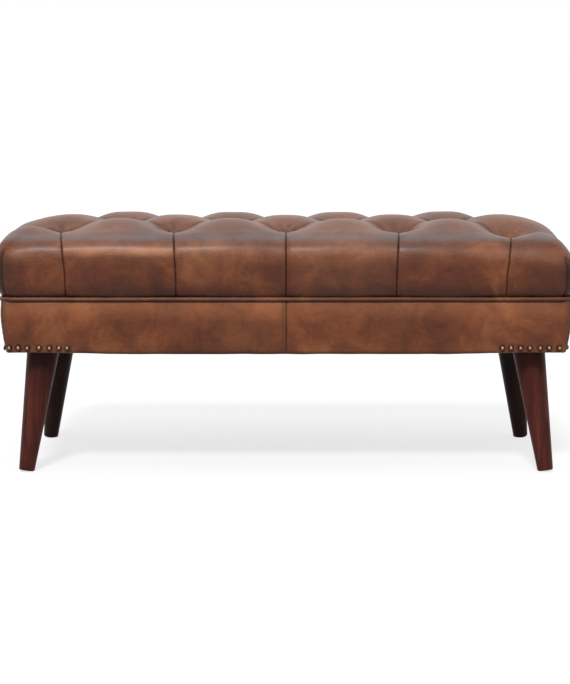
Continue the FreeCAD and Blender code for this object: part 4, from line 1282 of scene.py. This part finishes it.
def make_band():
    places, directions, marks = ring_places(BAND_FOOT_X, BAND_FOOT_Y, BAND_RADIUS, BAND_STEP)
    count = len(places)
    panels = (
        ("front_right", "front", "front_right"),
        ("right", "front_right", "back_right"),
        ("back_right", "back_right", "back"),
        ("back_left", "back", "back_left"),
        ("left", "back_left", "front_left"),
        ("front_left", "front_left", "front"),
    )
    for side, first, last in panels:
        begin = marks[first]
        end = marks[last] if marks[last] > begin else marks[last] + count
        numbers = [number % count for number in range(begin, end + 1)]
        topstitched = last in ("front", "back")
        name = "band_panel_" + side
        make_band_panel(name, "band_" + side, places[numbers], directions[numbers], topstitched)


PAD_CLEAR = 0.0034           # room for the leather, its seams and the nails' dents
PAD_STEPS = 22


def pad_section(foot, rail_face):
    """(outward, height) points round a rail pad's section, outer face first."""
    low, high = BAND_FOOT + 0.0030, BAND_TOP - 0.0016
    outer, inner = [], []
    for step in range(PAD_STEPS + 1):
        z = low + (high - low) * step / PAD_STEPS
        tacked = tack_high.y - RAIL_HALF_Y if z > tack_low.z - 0.002 else 0.0
        behind = rail_face + tacked + 0.0002
        nailed = 0.0012 if abs(z - NAIL_HEIGHT) < 0.007 else 0.0
        face = foot + band_out((z - BAND_FOOT) / (BAND_TOP - BAND_FOOT)) - PAD_CLEAR - nailed
        from_end = min(step, PAD_STEPS - step)
        fullness = (0.45, 0.85)[from_end] if from_end < 2 else 1.0
        outer.append((behind + (face - behind) * fullness, z))
        inner.append((behind, z))
    return outer + inner[::-1]


def make_rail_pad(side):
    """Soft padding between one rail and the leather band, thicker towards the top."""
    long_side = side in ("front", "back")
    sign = -1 if side in ("front", "left") else 1
    if long_side:
        section = pad_section(BAND_FOOT_Y, RAIL_HALF_Y)
        half_run = RAIL_HALF_X - 0.001
    else:
        section = pad_section(BAND_FOOT_X, RAIL_HALF_X)
        half_run = RAIL_HALF_Y - 0.001
    count = int(2 * half_run / 0.009)
    points = []
    for index in range(count + 1):
        run = -half_run + 2 * half_run * index / count
        for out, z in section:
            points.append((run, sign * out, z) if long_side else (sign * out, run, z))
    points = np.array(points)
    axis = 1 if long_side else 0
    outer = np.tile(np.arange(len(section)) <= PAD_STEPS, count + 1)
    points[:, axis] += sign * 0.0005 * outer * (roughness_at(points, 40.0, 17) - 0.5)
    size = len(section)
    faces = []
    for index in range(count):
        near = [index * size + place for place in range(size)]
        faces += bridge(near, [number + size for number in near])
    faces.append(tuple(range(size)))
    faces.append(tuple(reversed(range(count * size, (count + 1) * size))))
    piece = new_piece("rail_pad_" + side, points, faces, "wadding")
    shape = bmesh.new()
    shape.from_mesh(piece.data)
    bmesh.ops.recalc_face_normals(shape, faces=shape.faces)
    shape.to_mesh(piece.data)
    shape.free()
    settle(piece, "rail_padding_" + side)


# Dust cover

DUST_SAG = 0.0030
DUST_THICK = 0.0007
DUST_COLUMNS, DUST_ROWS = 106, 42
# the legs' tops lie outside both of these
LEG_TOP_X, LEG_TOP_Y = 0.432, 0.102


def make_dust_cover():
    """Black cloth stapled under the rails, hanging a little between them. It stays flat
    over the legs and along its edges, where the staples hold it."""
    xs = np.linspace(dust_low.x, dust_high.x, DUST_COLUMNS)
    ys = np.linspace(dust_low.y, dust_high.y, DUST_ROWS)
    grid_x, grid_y = np.meshgrid(xs, ys, indexing="ij")
    level = np.full(grid_x.size, (dust_low.z + dust_high.z) / 2)
    points = np.column_stack([grid_x.ravel(), grid_y.ravel(), level])
    from_edge_x = dust_high.x - np.abs(points[:, 0])
    from_edge_y = dust_high.y - np.abs(points[:, 1])
    held = smoothstep(from_edge_x, 0.022, 0.10) * smoothstep(from_edge_y, 0.022, 0.10)
    from_leg = np.hypot(
        np.maximum(LEG_TOP_X - np.abs(points[:, 0]), 0.0),
        np.maximum(LEG_TOP_Y - np.abs(points[:, 1]), 0.0),
    )
    held *= smoothstep(from_leg, 0.004, 0.08)
    folds = 0.8 + 0.35 * roughness_at(points * (1.0, 0.3, 1.0), 14.0, 21)
    points[:, 2] -= DUST_SAG * held * folds
    piece = new_piece("dust_sheet", points, grid_faces(DUST_COLUMNS, DUST_ROWS), "dust_cover_cloth")
    thicken(piece, DUST_THICK, 0.0)
    settle(piece, "dust_cover")


def make_nails():
    """Dome-headed nails, each driven a little askew."""
    form, faces = lathe(dome_profile(NAIL_RADIUS, NAIL_RISE, NAIL_SKIRT), NAIL_SIDES)
    on_dome = form[:, 2] > 0
    radial = np.hypot(form[:, 0], form[:, 1]) * on_dome
    # painted highlight in the middle of each dome
    worn_and_lit = (1 - smoothstep(radial, 0.20 * NAIL_RADIUS, 0.58 * NAIL_RADIUS)) * on_dome
    forms = {corner: [] for corner in CORNERS}
    for number, (corner, place, direction) in enumerate(nail_spots()):
        swing = Vector((math.sin(4.1 * number), math.cos(2.9 * number), math.sin(1.3 * number)))
        facing = (direction + swing * Vector((0.10, 0.10, 0.08))).normalized()
        turn = np.array(facing.to_track_quat("Z", "Y").to_matrix())
        offset = Vector((math.sin(7.7 * number), math.sin(5.3 * number), math.cos(3.1 * number)))
        shift = offset * Vector((0.0007, 0.0007, 0.0006))
        forms[corner].append((form @ turn.T + np.array(place + shift), faces))
    for corner in CORNERS:
        piece = join_copies("nail_heads_" + corner, forms[corner], "nail_brass")
        write_attribute(piece.data, "rub", np.tile(worn_and_lit, len(forms[corner])))
        settle(piece, "nails_" + corner)


cushion = make_seat()
make_filling("wadding_wrap", WADDING_INSET, "wadding", "wadding", WADDING_THICK)
make_filling("foam_block", FOAM_INSET, "foam", "foam_pad")
floors = tuft_floors(cushion)
make_buttons(floors)
make_twines(floors)
make_piping()
make_band()
for rail_side in ("front", "back", "left", "right"):
    make_rail_pad(rail_side)
make_nails()
make_dust_cover()


# Stage: pale floor, white surroundings, plain soft light

FLOOR_HALF = 30.0
FLOOR_GLOW = 0.72            # light added for the camera alone, so that the floor shows white
WHITE = (1.0, 1.0, 1.0, 1.0)


def make_stage():
    mesh = bpy.data.meshes.new("floor")
    signs = ((-1, -1), (1, -1), (1, 1), (-1, 1))
    mesh.from_pydata([(x * FLOOR_HALF, y * FLOOR_HALF, 0) for x, y in signs], [], [(0, 1, 2, 3)])
    floor = bpy.data.objects.new("floor", mesh)
    bpy.context.scene.collection.objects.link(floor)
    shader = Shader("floor")
    shader.finish(Base_Color=srgb(152, 151, 150), Roughness=0.9, Specular_IOR_Level=0.0)
    glow = shader.math("MULTIPLY", shader.seen_directly(), FLOOR_GLOW)
    shader.feed(shader.surface.inputs["Emission Color"], WHITE)
    shader.feed(shader.surface.inputs["Emission Strength"], glow)
    mesh.materials.append(shader.material)
    world = bpy.data.worlds.new("surroundings")
    bpy.context.scene.world = world
    world.use_nodes = True
    sky = Nodes(world.node_tree)
    background = sky.tree.nodes["Background"]
    sky.feed(background.inputs["Strength"], sky.span(sky.seen_directly(), 0.0, 1.0, 0.5, 1.0))
    sky.feed(background.inputs["Color"], WHITE)


def make_sun(name, toward, strength, spread):
    data = bpy.data.lights.new(name, "SUN")
    data.energy = strength
    data.angle = math.radians(spread)
    lamp = bpy.data.objects.new(name, data)
    lamp.rotation_mode = "QUATERNION"
    lamp.rotation_quaternion = Vector(toward).to_track_quat("-Z", "Y")
    bpy.context.scene.collection.objects.link(lamp)


make_stage()
make_sun("key", (0.12, 0.66, -0.74), 2.0, 12)
make_sun("top", (0.0, 0.12, -1.0), 0.5, 40)
bpy.context.scene.view_settings.view_transform = "Standard"
